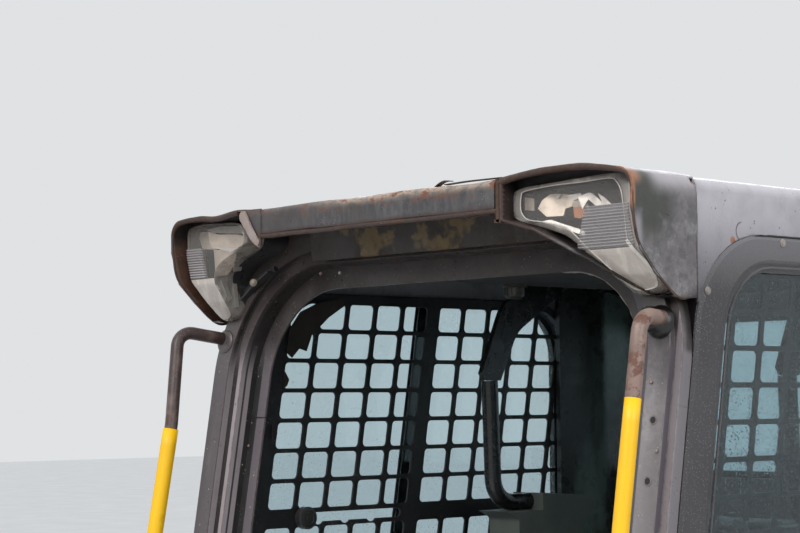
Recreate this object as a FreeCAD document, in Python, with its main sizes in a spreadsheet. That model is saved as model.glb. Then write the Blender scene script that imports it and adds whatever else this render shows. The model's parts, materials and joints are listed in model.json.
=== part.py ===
"""Operator's cab of a skid steer loader: a hollow pressed-steel cab with its leaning
front arch, lamp hood, grilles, glass, handles, seat and overhead restraint bar.

Frame: +X is the machine's left, -Y its front, +Z up. The origin is at the middle of the
cab's foot, on the surface that it stands on. Lengths are millimetres.
"""
import FreeCAD, Part
import math
import os
import re

import Sketcher

doc = FreeCAD.newDocument("LoaderCab")

# Driving sizes: name, value, what it is.
SIZES = (
    ("cab_width", 950, "over the outer skins"),
    ("front_reach", 590, "origin to the front of the sill"),
    ("rear_reach", 590, "origin to the back of the cab"),
    ("roof_top", 1378, "top of the roof skin"),
    ("skin", 3, "outer sheet thickness"),
    ("skin_gap", 2, "open seam between neighbouring outer sheets"),
    ("wall", 46, "thickness of the side and rear walls"),
    ("sill_height", 60, "height of the foot frame"),
    ("sill_width", 96, "width of the foot frame's rails"),
    ("foot_hole", 9, "radius of the front hold-down holes"),
    ("bush_bore", 16, "radius of the rear tilt bushes"),
    ("bush_back", 50, "cab's back to the tilt bushes"),
    ("lean_angle", 9.25, "backward lean of the front, in degrees"),
    ("sill_lip", 14, "sill ahead of the arch's foot"),
    ("arch_drop", 4, "roof's top to the arch's top"),
    ("arch_radius", 234, "outer corner radius of the arch"),
    ("post_width", 96, "width of the arch section"),
    ("post_depth", 47, "depth of the arch section"),
    ("flange_step", 11, "outer flange of the arch, width and set-back"),
    ("side_return", 30, "depth of the arch's side return"),
    ("face_edge", 45, "outer edge to the inner edge of the arch's front face"),
    ("bead_edge", 63, "outer edge to the inner edge of the arch's second face"),
    ("bead_step", 13, "set-back of the second face"),
    ("window_set", 95, "front plane to the side window's leaning edge"),
    ("window_rear", 210, "cab's back to the side window's back edge"),
    ("window_low", 612, "lower edge of the side window's clear opening"),
    ("window_head", 115, "roof's top to the window's upper edge"),
    ("window_radius", 86, "corner radius of the side window's clear opening"),
    ("ring_width", 46, "width of the window ring"),
    ("ring_proud", 4, "height of the window ring over the outer skin"),
    ("ring_round", 4, "radius of the window ring's outer edge"),
    ("ring_bevel", 16, "width of the bevel round the pane"),
    ("bevel_depth", 9, "depth of that bevel"),
    ("panel_edge", 60, "rim left round a wall's pressed panel"),
    ("panel_depth", 8, "depth of a wall's pressed panel"),
    ("panel_radius", 40, "corner radius of a wall's pressed panel"),
    ("glass", 5, "thickness of a pane"),
    ("glass_set", 10, "outer skin's inside to the front pane"),
    ("glass_lap", 10, "how far a pane reaches under its ring"),
    ("fit_gap", 2, "clearance of a pane in its wall"),
    ("pane_gap", 3, "between the two sliding panes"),
    ("pane_lap", 30, "overlap of the two sliding panes"),
    ("mesh_start", 7, "window's edge to the grille's first column"),
    ("mesh_pitch_y", 61, "pitch of the grille's upright bars"),
    ("mesh_pitch_z", 48, "pitch of the grille's level bars"),
    ("bar_upright", 9, "width of an upright grille bar"),
    ("bar_level", 7, "width of a level grille bar"),
    ("grille", 4, "thickness of the grille plate"),
    ("grille_lap", 14, "how far the grille reaches past the clear opening"),
    ("divider_width", 29, "width of the grille's broad upright bar"),
    ("band_height", 30, "height of the grille's band with the latch slot"),
    ("slot_height", 15, "height of the latch slot"),
    ("slot_start", 76, "window's front edge to the latch slot"),
    ("slot_length", 220, "length of the latch slot"),
    ("notch_start", 119, "window's front edge to the slot's first notch"),
    ("notch_pitch", 56, "pitch of the slot's notches"),
    ("notch_radius", 12, "radius of a notch"),
    ("notch_depth", 5, "depth of a notch"),
    ("latch_back", 84, "window's front edge to the latch's knob"),
    ("latch_stem", 6, "radius of the latch's stem"),
    ("latch_radius", 18, "radius of the window latch's knob"),
    ("latch_proud", 12, "height of the latch's knob over the grille"),
    ("roof_radius", 16, "bend radius of the roof's edges"),
    ("roof_seam", 7.5, "front plane to the roof skin's front edge"),
    ("roof_panel_rise", 5, "height of the roof's raised middle"),
    ("roof_panel_edge", 70, "rim left round the roof's raised middle"),
    ("roof_panel_radius", 60, "corner radius of the roof's raised middle"),
    ("hood_depth", 121, "roof skin's front edge to the hoods' front"),
    ("hood_tail", 157, "roof's top to a hood's lowest point"),
    ("hood_crown", 11, "rise of a hood's crowned top over the visor"),
    ("hood_crown_radius", 520, "radius of that crown"),
    ("hood_fall", 7, "fall of a hood's outer corner below the visor"),
    ("lamp_width", 225, "width of a lamp hood"),
    ("visor_drop", 35, "height of the visor's front face"),
    ("visor_rise", 9, "height of the visor over the roof"),
    ("visor_radius", 9, "outer bend radius of the visor"),
    ("visor_lip", 12, "depth of the visor's turned-in lower edge"),
    ("recess_rise", 18, "recess of the visor's underside over its lip"),
    ("head_line", 66, "roof's top to the lower edge of the visor's underside"),
    ("lens", 4, "thickness of the lamp lens"),
    ("lens_set", 9, "lens behind the hood's rim"),
    ("lamp_wall", 4, "wall of the lamp bowl"),
    ("lamp_gap", 4, "lamp bowl ahead of the arch"),
    ("handle_radius", 10, "outer radius of the grab handle's tube"),
    ("handle_inset", 6, "outer skin to the handle's middle"),
    ("handle_foot_inset", 34, "outer skin to the handle's feet"),
    ("handle_stand_off", 76, "handle's middle ahead of the arch's front plane"),
    ("handle_head", 176, "arch's top to the handle's upper leg, along the post"),
    ("handle_length", 656, "handle's upper leg to its lower leg, along the post"),
    ("handle_bow", 15, "how far the right handle is bent inwards"),
    ("grip_radius", 12, "outer radius of the grip sleeve"),
    ("handle_kink", 146, "handle's upper leg to the right handle's bend"),
    ("grip_start", 105, "handle's upper leg to the left grip"),
    ("grip_start_right", 154, "handle's upper leg to the right grip"),
    ("grip_end", 80, "handle's lower leg to the grip's foot"),
    ("rear_window_side", 80, "outer skin to the rear window's side"),
    ("rear_window_head", 128, "roof's top to the rear window's upper edge"),
    ("rear_window_height", 290, "height of the rear window"),
    ("rear_window_radius", 55, "corner radius of the rear window"),
    ("seal_lip", 8, "rubber on each side of the rear pane"),
    ("seal_width", 12, "width of the rear pane's seal"),
    ("deck_height", 300, "foot to the top of the seat deck"),
    ("deck_lip", 30, "seat deck ahead of the cushion"),
    ("deck_sheet", 4, "thickness of the seat deck"),
    ("seat_clear", 214, "rear wall to the front of the backrest's foot"),
    ("cushion_depth", 420, "depth of the cushion"),
    ("cushion_thick", 95, "thickness of the cushion"),
    ("cushion_radius", 20, "corner radius of the cushion's side outline"),
    ("seat_rise", 95, "seat deck to the underside of the cushion"),
    ("back_gap", 10, "cushion's top to the backrest"),
    ("back_rise", 430, "height of the backrest"),
    ("back_thick", 85, "thickness of the backrest"),
    ("back_radius", 25, "corner radius of the backrest's side outline"),
    ("back_lean", 8, "backward lean of the backrest, in degrees"),
    ("stand_inset", 50, "edge of the seat to its stand"),
    ("back_plate", 8, "thickness of the plate behind the backrest"),
    ("back_plate_rise", 240, "height of that plate over the backrest's lower end"),
    ("bar_inset", 172, "outer skin to the middle of a restraint arm"),
    ("bar_plate", 10, "thickness of a restraint arm"),
    ("bar_drop", 498, "roof's top to the restraint bar's pivot"),
    ("bar_reach", 500, "pivot to the front of the arm's curve"),
    ("pad_rise", 51, "pivot to the tubes' level run"),
    ("pad_reach", 351, "pivot to where a tube meets its pad"),
    ("bar_back", 44, "rear wall to the restraint bar's pivot"),
    ("bar_eye", 24, "half size of a restraint arm's eye"),
    ("bar_tube", 14, "outer radius of the restraint bar's tubes"),
    ("bar_bend", 42, "bend radius of a restraint tube"),
    ("bar_shaft", 10, "radius of the restraint bar's pivot shaft"),
    ("shaft_gap", 0.1, "radial clearance of the pivot shaft"),
    ("bracket_plate", 8, "thickness of a pivot bracket"),
    ("bracket_gap", 12, "restraint arm to its bracket"),
    ("bracket_half", 45, "half height of a pivot bracket at the wall"),
    ("bracket_nose", 22, "half height of a pivot bracket at its nose"),
    ("pad_width", 70, "width of an arm pad"),
    ("ceiling_mid", 89, "roof's top to the headliner's middle"),
    ("ceiling_side", 16, "roof's top to the headliner's side channels"),
    ("ceiling_inset", 250, "outer skin to the edge of the headliner's middle"),
    ("ceiling_slope", 20, "width of the headliner's slanted sides"),
    ("liner", 10, "thickness of the headliner"),
    ("trim_run", 198, "rear wall to the front edge of the corner trim"),
    ("trim_proud", 34, "how far the corner trim bulges from the wall"),
    ("trim_gap", 1, "clearance of the corner trim at the grille"),
    ("trim_radius", 60, "radius of the corner trim's bulge"),
    ("console_inset", 145, "outer skin to a console's middle"),
    ("console_half", 55, "half width of a control console"),
    ("console_length", 350, "length of a control console"),
    ("console_gap", 45, "control console to the seat"),
    ("lever_radius", 9, "radius of a control lever"),
    ("lever_back", 90, "console's front to its lever"),
    ("dome_length", 60, "length of the cabin light, sideways"),
    ("dome_width", 44, "width of the cabin light"),
    ("dome_height", 14, "height of the cabin light"),
    ("dome_inset", 8, "edge of the headliner's middle to the cabin light"),
)

sizes = doc.addObject("Spreadsheet::Sheet", "Sizes")
for row, (name, number, meaning) in enumerate(SIZES, start=1):
    sizes.set(f"A{row}", str(number))
    sizes.setAlias(f"A{row}", name)
    sizes.set(f"B{row}", meaning)
doc.recompute()
ALIASES = {name for name, _, _ in SIZES}


def bound(text):
    """An expression over size names, with each name tied to the sheet."""
    def tie(match):
        word = match.group(0)
        return f"Sizes.{word}" if word in ALIASES else word
    return re.sub(r"[A-Za-z_]\w*", tie, str(text))


def value(text):
    """The number that an expression over size names gives now."""
    result = sizes.evalExpression(bound(text))
    return float(getattr(result, "Value", result))


def bind(thing, **properties):
    """Ties properties to size expressions; __ stands for a dot."""
    for name, text in properties.items():
        thing.setExpression(name.replace("__", "."), bound(text))


parts = []


def finish(thing, label):
    """Names a finished sub-part."""
    thing.Label = label
    parts.append(thing)
    return thing


def new_body(label):
    """An empty body; finish() is called on it at once."""
    return finish(doc.addObject("PartDesign::Body", label), label)


def sketch_on(body, role, offset="0"):
    """A sketch on one of the body's origin planes, moved along the plane's normal."""
    sketch = body.newObject("Sketcher::SketchObject", "Sketch")
    plane = next(p for p in body.Origin.OriginFeatures if p.Role == role)
    sketch.AttachmentSupport = [(plane, "")]
    sketch.MapMode = "FlatFace"
    bind(sketch, AttachmentOffset__Base__z=offset)
    return sketch


def unit(start, end):
    """Unit vector from one point to another."""
    return (end - start).normalize()


def draw(sketch, corners, closed=True):
    """Draws an outline through corners (x, y) or (x, y, radius) and ties it to the sizes.

    A corner with a radius becomes a tangent arc; the sharp corner stays as a point that
    holds the two lines.
    """
    points = [FreeCAD.Vector(value(c[0]), value(c[1]), 0) for c in corners]
    count = len(points)
    radii = [value(c[2]) if len(c) > 2 else 0 for c in corners]
    enter = list(points)
    leave = list(points)
    arcs = {}
    for i, radius in enumerate(radii):
        if not radius:
            continue
        back = unit(points[i], points[i - 1])
        ahead = unit(points[i], points[(i + 1) % count])
        half = back.getAngle(ahead) / 2
        enter[i] = points[i] + back * (radius / math.tan(half))
        leave[i] = points[i] + ahead * (radius / math.tan(half))
        centre = points[i] + (back + ahead).normalize() * (radius / math.sin(half))
        middle = centre + (points[i] - centre).normalize() * radius
        arcs[i] = Part.Arc(enter[i], middle, leave[i])
    spans = count if closed else count - 1
    lines = [
        sketch.addGeometry(Part.LineSegment(leave[i], enter[(i + 1) % count]), False)
        for i in range(spans)
    ]
    for i in range(count):
        before = lines[i - 1] if (closed or i) else None
        after = lines[i] if i < spans else None
        if i in arcs:
            corner = sketch.addGeometry(Part.Point(points[i]), True)
            arc = sketch.addGeometry(arcs[i], False)
            tie_corner(sketch, corner, 1, corners[i])
            sketch.addConstraint(Sketcher.Constraint("PointOnObject", corner, 1, before))
            sketch.addConstraint(Sketcher.Constraint("PointOnObject", corner, 1, after))
            start, stop = arc_ends(sketch, arc, enter[i])
            sketch.addConstraint(Sketcher.Constraint("Tangent", before, 2, arc, start))
            sketch.addConstraint(Sketcher.Constraint("Tangent", arc, stop, after, 1))
            held = sketch.addConstraint(Sketcher.Constraint("Radius", arc, radii[i]))
            sketch.setExpression(f"Constraints[{held}]", bound(corners[i][2]))
        elif after is not None:
            tie_corner(sketch, after, 1, corners[i])
            if before is not None:
                sketch.addConstraint(Sketcher.Constraint("Coincident", before, 2, after, 1))
        else:
            tie_corner(sketch, before, 2, corners[i])
    return sketch


def arc_ends(sketch, arc, first):
    """Which ends of an arc come first and last along the outline."""
    at_start = sketch.getPoint(arc, 1).distanceToPoint(first)
    at_end = sketch.getPoint(arc, 2).distanceToPoint(first)
    return (1, 2) if at_start < at_end else (2, 1)


def tie_corner(sketch, geometry, end, corner):
    """Ties one point of a sketch to its two size expressions."""
    for kind, text in (("DistanceX", corner[0]), ("DistanceY", corner[1])):
        held = sketch.addConstraint(
            Sketcher.Constraint(kind, -1, 1, geometry, end, value(text)))
        sketch.setExpression(f"Constraints[{held}]", bound(text))


def circle(sketch, x, y, radius):
    """Draws a circle tied to the sizes."""
    centre = FreeCAD.Vector(value(x), value(y), 0)
    up = FreeCAD.Vector(0, 0, 1)
    geometry = sketch.addGeometry(Part.Circle(centre, up, value(radius)), False)
    tie_corner(sketch, geometry, 3, (x, y))
    held = sketch.addConstraint(Sketcher.Constraint("Radius", geometry, value(radius)))
    sketch.setExpression(f"Constraints[{held}]", bound(radius))


def pad(body, sketch, length):
    """Raises a sketch along its plane's normal."""
    feature = body.newObject("PartDesign::Pad", "Pad")
    feature.Profile = sketch
    bind(feature, Length=length)
    return feature


def pocket(body, sketch):
    """Cuts a sketch through the whole body, both ways."""
    feature = body.newObject("PartDesign::Pocket", "Pocket")
    feature.Profile = sketch
    feature.Type = "ThroughAll"
    feature.Midplane = True
    return feature


def recess(body, sketch, depth, reverse=False):
    """Cuts a sketch to a depth, against its plane's normal or, reversed, along it."""
    feature = body.newObject("PartDesign::Pocket", "Recess")
    feature.Profile = sketch
    feature.Reversed = reverse
    bind(feature, Length=depth)
    return feature


def slab(label, role, corners, low, thickness, holes=()):
    """A body made of one outline, raised from low by thickness, with holes cut through."""
    body = new_body(label)
    pad(body, draw(sketch_on(body, role, low), corners), thickness)
    for hole in holes:
        pocket(body, draw(sketch_on(body, role, low), hole))
    return body


def rod(name, axis, start, radius, length):
    """A Part cylinder along a row axis from its start point."""
    thing = doc.addObject("Part::Cylinder", name)
    turn = {"x": (0, 1, 0, 90), "y": (1, 0, 0, -90), "z": (0, 0, 1, 0)}[axis]
    thing.Placement.Rotation = FreeCAD.Rotation(FreeCAD.Vector(*turn[:3]), turn[3])
    bind(thing, Radius=radius, Height=length, Placement__Base__x=start[0],
         Placement__Base__y=start[1], Placement__Base__z=start[2])
    return thing


def fused(label, things):
    """Several solids welded into one sub-part."""
    thing = doc.addObject("Part::MultiFuse", label)
    thing.Shapes = things
    return finish(thing, label)


def without(label, base, tools):
    """A solid with others cut out of it."""
    tool = tools[0]
    if len(tools) > 1:
        tool = doc.addObject("Part::MultiFuse", label + "_tools")
        tool.Shapes = tools
    thing = doc.addObject("Part::Cut", label)
    thing.Base = base
    thing.Tool = tool
    return finish(thing, label)


def mirrored(label, source):
    """The same piece on the machine's right."""
    thing = doc.addObject("Part::Mirroring", label)
    thing.Source = source
    thing.Normal = FreeCAD.Vector(1, 0, 0)
    return finish(thing, label)


def both_sides(make, name):
    """Makes a left piece and its mirror image on the right."""
    left = make(name + "_left")
    return left, mirrored(name + "_right", left)


def pair(make, name):
    """Makes a left piece and its mirror image as two solids of one sub-part."""
    left = make(name + "_left")
    return joined(name, left, left)


def joined(name, left, other):
    """One sub-part of a left piece and the mirror image of another left piece."""
    right = mirrored(name + "_right", other)
    for thing in {left, other, right}:
        parts.remove(thing)
    return fused(name, [left, right])


def plane_y(z, depth="0"):
    """Y of the leaning front plane at a height, or of a plane behind it."""
    return f"({FOOT_Y} + ({z}) * tan(lean_angle) + ({depth}) / cos(lean_angle))"


# Places that follow from the driving sizes.
HALF = "(cab_width / 2)"
SKIN_IN = f"({HALF} - skin)"
WALL_IN = f"({SKIN_IN} - wall)"
ROOF_UNDER = "(roof_top - skin)"
REAR_IN = "(rear_reach - wall)"
FOOT_Y = "(-front_reach + sill_lip)"
ARCH_TOP = "((roof_top - arch_drop) / cos(lean_angle))"
WINDOW_HIGH = "(roof_top - window_head)"
WINDOW_BACK = "(rear_reach - window_rear)"
ROOF_Y = plane_y("roof_top", "roof_seam")
HOOD_Y = f"({ROOF_Y} - hood_depth)"
BEND_FOOT = f"({ARCH_TOP} - arch_radius - post_width / 2)"
BEND_HEAD = f"({HALF} - arch_radius - post_width / 2)"
VISOR_HALF = f"({HALF} - lamp_width)"
HANDLE_X = f"({HALF} - handle_inset)"
HANDLE_FOOT_X = f"({HALF} - handle_foot_inset)"
HANDLE_TOP = f"({ARCH_TOP} - handle_head)"
HANDLE_LOW = f"({HANDLE_TOP} - handle_length)"
BACK_Y = f"({REAR_IN} - seat_clear)"
SEAT_Y = f"({BACK_Y} - cushion_depth)"
DECK_Y = f"({SEAT_Y} - deck_lip)"
CUSHION_LOW = "(deck_height + seat_rise)"
CUSHION_TOP = f"({CUSHION_LOW} + cushion_thick)"
BACK_LOW = f"({CUSHION_TOP} + back_gap)"
BACK_TOP = f"({BACK_LOW} + back_rise)"
BAR_X = f"({HALF} - bar_inset)"
PIVOT_Y = f"({REAR_IN} - bar_back)"
PIVOT_Z = "(roof_top - bar_drop)"
CEILING_MID = "(roof_top - ceiling_mid)"
CEILING_SIDE = "(roof_top - ceiling_side)"
CEILING_HALF = f"({HALF} - ceiling_inset)"
CONSOLE_X = f"({HALF} - console_inset)"
CONSOLE_TOP = f"({CUSHION_TOP} + back_gap)"
SEAT_HALF = f"({CONSOLE_X} - console_half - console_gap)"
REAR_WINDOW_LOW = "(roof_top - rear_window_head - rear_window_height)"


def lean(body):
    """Puts a body in the leaning frame of the front: y is depth, z runs up the post."""
    body.Placement.Rotation = FreeCAD.Rotation(FreeCAD.Vector(1, 0, 0),
                                               -value("lean_angle"))
    bind(body, Placement__Base__y=FOOT_Y, Placement__Rotation__Angle="lean_angle")
    body.Placement.Rotation.Axis = FreeCAD.Vector(-1, 0, 0)


def base_frame():
    """Foot frame: two rails, a front threshold and a rear member, one welded ring."""
    body = slab("base_frame", "XY_Plane",
                [(f"-{HALF}", "-front_reach"), (HALF, "-front_reach"),
                 (HALF, "rear_reach"), (f"-{HALF}", "rear_reach")],
                "0", "sill_height",
                [[(f"-{HALF} + sill_width", "-front_reach + sill_width"),
                  (f"{HALF} - sill_width", "-front_reach + sill_width"),
                  (f"{HALF} - sill_width", f"{REAR_IN} - wall"),
                  (f"-{HALF} + sill_width", f"{REAR_IN} - wall")]])
    sketch = sketch_on(body, "XY_Plane")
    for x in (f"-{HALF} + sill_width / 2", f"{HALF} - sill_width / 2"):
        circle(sketch, x, "-front_reach + sill_width / 2", "foot_hole")
    pocket(body, sketch)
    for side, inwards in ((HALF, False), (f"-{HALF}", True)):
        sketch = sketch_on(body, "YZ_Plane", side)
        circle(sketch, "rear_reach - bush_back", "sill_height / 2", "bush_bore")
        recess(body, sketch, "sill_width", inwards)
    return body


# The arch's stepped section: in from its outer edge, back from its front plane.
ARCH_SECTION = (
    ("0", "side_return"), ("0", "flange_step"), ("flange_step", "flange_step"),
    ("flange_step", "0"), ("face_edge", "0"), ("face_edge", "bead_step"),
    ("bead_edge", "bead_step"), ("bead_edge", "post_depth - skin"),
    ("post_width", "post_depth - skin"), ("post_width", "post_depth"),
    ("bead_edge - skin", "post_depth"), ("bead_edge - skin", "bead_step + skin"),
    ("face_edge - skin", "bead_step + skin"), ("face_edge - skin", "skin"),
    ("flange_step + skin", "skin"), ("flange_step + skin", "flange_step + skin"),
    ("skin", "flange_step + skin"), ("skin", "side_return"),
)


def post_section(body, height):
    """The arch's section across the right post, at a height along the post."""
    return draw(sketch_on(body, "XY_Plane", height),
                [(f"-{HALF} + {inwards}", back) for inwards, back in ARCH_SECTION])


def front_arch():
    """Straight head of the pressed arch, between its bends."""
    body = new_body("front_arch")
    pad(body, draw(sketch_on(body, "YZ_Plane", f"-{BEND_HEAD}"),
                   [(back, f"{ARCH_TOP} - ({inwards})") for inwards, back in ARCH_SECTION]),
        f"2 * {BEND_HEAD}")
    lean(body)
    return body


def arch_bend(label):
    """Bend between the right post and the head: the section swept round the corner."""
    body = new_body(label)
    section = post_section(body, BEND_FOOT)
    path = draw(sketch_on(body, "XZ_Plane"), [
        (f"-{HALF}", BEND_FOOT), (f"-{HALF}", ARCH_TOP, "arch_radius"),
        (f"-{BEND_HEAD}", ARCH_TOP)], closed=False)
    doc.recompute()
    sweep = body.newObject("PartDesign::AdditivePipe", "Sweep")
    sweep.Profile = section
    sweep.Spine = (path, [f"Edge{n}" for n in range(1, 4)])
    sweep.Transition = "Transformed"
    lean(body)
    return body


def front_post(label):
    """Right post of the arch, with the same section, cut level where it stands."""
    body = new_body(label)
    pad(body, post_section(body, "-sill_height"), f"{BEND_FOOT} + sill_height")
    foot = "(sill_height + ({0}) * sin(lean_angle)) / cos(lean_angle)"
    pocket(body, draw(sketch_on(body, "YZ_Plane"), [
        ("-post_depth", foot.format("-post_depth")),
        ("2 * post_depth", foot.format("2 * post_depth")),
        ("2 * post_depth", "-3 * sill_height"),
        ("-post_depth", "-3 * sill_height"),
    ]))
    lean(body)
    return body


def offset_window(grow):
    """The side window's outline, grown outwards by an expression."""
    foot = f"(window_low - ({grow}))"
    head = f"({WINDOW_HIGH} + ({grow}))"
    front = f"(window_set - ({grow}))"
    back = f"({WINDOW_BACK} + ({grow}))"
    bend = f"window_radius + ({grow})"
    return [(plane_y(foot, front), foot, bend), (back, foot, bend),
            (back, head, bend), (plane_y(head, front), head, bend)]


def side_wall(label):
    """Side wall as thick as the real double wall: window opening and a pressed panel."""
    top = f"({ROOF_UNDER} - roof_radius)"
    body = slab(label, "YZ_Plane", [
        (plane_y("sill_height", "post_depth"), "sill_height"),
        (REAR_IN, "sill_height"),
        (REAR_IN, top),
        (plane_y(top, "post_depth"), top),
    ], WALL_IN, "wall", [offset_window("glass_lap + fit_gap")])
    low = "(sill_height + panel_edge)"
    high = "(window_low - 1.5 * panel_edge)"
    front = "(post_depth + panel_edge)"
    recess(body, draw(sketch_on(body, "YZ_Plane", SKIN_IN), [
        (plane_y(low, front), low, "panel_radius"),
        (f"{REAR_IN} - panel_edge", low, "panel_radius"),
        (f"{REAR_IN} - panel_edge", high, "panel_radius"),
        (plane_y(high, front), high, "panel_radius"),
    ]), "panel_depth")
    return body


def ring_outline(grow):
    """Outer edge of the window ring, which starts at the seam behind the arch."""
    edge = f"(ring_width + ({grow}))"
    foot = f"(window_low - {edge})"
    head = f"({WINDOW_HIGH} + {edge})"
    seam = "side_return + skin_gap"
    back = f"({WINDOW_BACK} + {edge})"
    bend = f"window_radius + {edge}"
    return [(plane_y(foot, seam), foot, bend), (back, foot, bend),
            (back, head, bend), (plane_y(head, seam), head, bend)]


def window_ring(label):
    """Moulded ring on the wall's outer face: blunt outer edge, bevel down to the pane."""
    body = new_body(label)
    pad(body, draw(sketch_on(body, "YZ_Plane", SKIN_IN), ring_outline("0")),
        "skin + ring_proud")
    face = f"({HALF} + ring_proud)"
    blunt(body, face, "ring_round", "ring_round")
    collar = draw(sketch_on(body, "YZ_Plane", f"{SKIN_IN} - glass_set"),
                  offset_window("glass_lap"))
    pad(body, collar, "glass_set")
    pocket(body, draw(sketch_on(body, "YZ_Plane"), offset_window("0")))
    blunt(body, face, "ring_bevel", "bevel_depth", inner=True)
    return body


def blunt(body, x, across, deep, inner=False):
    """Bevels the outer or the inner rim of the body's flat face at x."""
    doc.recompute()
    base = body.Tip
    shape = base.Shape
    face = next(f for f in shape.Faces
                if abs(f.BoundBox.XMin - value(x)) < 0.01 and f.BoundBox.XLength < 0.01)
    wires = [w for w in face.Wires if w.isSame(face.OuterWire) != inner]
    rim = [f"Edge{n}" for n, edge in enumerate(shape.Edges, start=1)
           if any(edge.isSame(other) for wire in wires for other in wire.Edges)]
    bevel = body.newObject("PartDesign::Chamfer", "Bevel")
    bevel.Base = (base, rim)
    bevel.ChamferType = "Two distances"
    bind(bevel, Size=across, Size2=deep)
    return bevel


def pane_split(lap):
    """Cutting outline along the grille's broad bar, moved back by an expression."""
    depth = (f"window_set + mesh_start + {DIVIDER_AFTER} * mesh_pitch_y"
             f" + (divider_width - bar_upright) / 2 + ({lap})")
    low = "(window_low - ring_width)"
    high = f"({WINDOW_HIGH} + ring_width)"
    return (plane_y(low, depth), low), (plane_y(high, depth), high)


def side_glass(label):
    """The two sliding panes of a side window: the front one outside, the rear one inside."""
    low = "(window_low - ring_width)"
    high = f"({WINDOW_HIGH} + ring_width)"
    outer = f"({SKIN_IN} - glass_set - glass)"
    front = doc.addObject("PartDesign::Body", label + "_front")
    pad(front, draw(sketch_on(front, "YZ_Plane", outer), offset_window("glass_lap")), "glass")
    below, above = pane_split("pane_lap / 2")
    pocket(front, draw(sketch_on(front, "YZ_Plane", outer), [
        below, ("rear_reach", low), ("rear_reach", high), above]))
    inner = f"({outer} - pane_gap - glass)"
    rear = doc.addObject("PartDesign::Body", label + "_rear")
    pad(rear, draw(sketch_on(rear, "YZ_Plane", inner),
                   offset_window("glass_lap + fit_gap")), "glass")
    below, above = pane_split("-pane_lap / 2")
    pocket(rear, draw(sketch_on(rear, "YZ_Plane", inner), [
        ("-front_reach", low), below, above, ("-front_reach", high)]))
    return fused(label, [front, rear])


DIVIDER_AFTER = 5  # columns of grille holes ahead of the broad bar
BAND_AFTER = 7  # rows of grille holes above the band with the latch slot
NOTCHES = 3
WHOLE_ENOUGH = 0.3  # share of a full grille hole below which it is left out


def side_grille(label):
    """Punched grille inside the side window: leaning holes in rows, a broad upright bar
    and a broad level band with the notched slot of the window latch."""
    thick = value("grille")
    x_in = value(f"{WALL_IN} - grille")
    along = FreeCAD.Vector(thick, 0, 0)
    plate = plate_face(offset_window("grille_lap"), x_in).extrude(along)
    clear = plate_face(offset_window("0"), x_in).extrude(along)
    slope = math.tan(math.radians(value("lean_angle")))
    low = value("window_low")
    high = value(WINDOW_HIGH)
    back = value(WINDOW_BACK)
    pitch_y = value("mesh_pitch_y")
    pitch_z = value("mesh_pitch_z")
    half_y = (pitch_y - value("bar_upright")) / 2
    half_z = (pitch_z - value("bar_level")) / 2
    divider = value("divider_width - bar_upright")
    band = value("band_height - bar_level")
    whole = 4 * half_y * half_z * thick
    cutter = [latch_slot(x_in, thick)]
    for row in range(int((high - low - band) / pitch_z)):
        z = high - pitch_z * (row + 0.5) - (band if row >= BAND_AFTER else 0)
        front = value(plane_y(z, "window_set + mesh_start"))
        for column in range(int((back - front) / pitch_y) + 1):
            y = front + pitch_y * (column + 0.5)
            if column >= DIVIDER_AFTER:
                y += divider
            corners = [FreeCAD.Vector(x_in, y + across * half_y + slope * up * half_z,
                                      z + up * half_z)
                       for across, up in ((-1, -1), (1, -1), (1, 1), (-1, 1), (-1, -1))]
            hole = Part.Face(Part.makePolygon(corners)).extrude(along).common(clear)
            if hole.Volume > WHOLE_ENOUGH * whole:
                cutter.append(hole)
    thing = doc.addObject("Part::Feature", label)
    thing.Shape = plate.cut(Part.makeCompound(cutter))
    return finish(thing, label)


def band_middle():
    """Height of the middle of the grille's band."""
    return (f"({WINDOW_HIGH} - {BAND_AFTER} * mesh_pitch_z + bar_level / 2"
            " - band_height / 2)")


def latch_slot(x_in, thick):
    """Slot with round ends and a row of notches in its lower edge."""
    z = value(band_middle())
    front = value(plane_y(band_middle(), "window_set"))
    half = value("slot_height / 2")
    start = front + value("slot_start") + half
    run = value("slot_length") - 2 * half
    corner = FreeCAD.Vector(x_in, start, z - half)
    across = FreeCAD.Vector(1, 0, 0)
    tools = [Part.makeCylinder(half, thick, FreeCAD.Vector(x_in, y, z), across)
             for y in (start, start + run)]
    radius = value("notch_radius")
    for n in range(NOTCHES):
        y = front + value(f"notch_start + {n} * notch_pitch")
        middle = FreeCAD.Vector(x_in, y, z - half - value("notch_depth") + radius)
        round_cut = Part.makeCylinder(radius, thick, middle, across)
        lower = Part.makeBox(thick, 2 * radius, half + value("notch_depth"),
                             FreeCAD.Vector(x_in, y - radius, z - half - value("notch_depth")))
        tools.append(round_cut.common(lower))
    return Part.makeBox(thick, run, 2 * half, corner).fuse(tools).removeSplitter()


def window_latch(label):
    """Round knob inside the grille on a stem that stands on the front pane."""
    y = plane_y(band_middle(), "window_set + latch_back")
    start = f"({WALL_IN} - grille - fit_gap - latch_proud)"
    knob = rod(label + "_knob", "x", (start, y, band_middle()), "latch_radius", "latch_proud")
    pane = f"({SKIN_IN} - glass_set - glass)"
    stem = rod(label + "_stem", "x", (start, y, band_middle()), "latch_stem",
               f"{pane} - {start}")
    return fused(label, [knob, stem])


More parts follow.
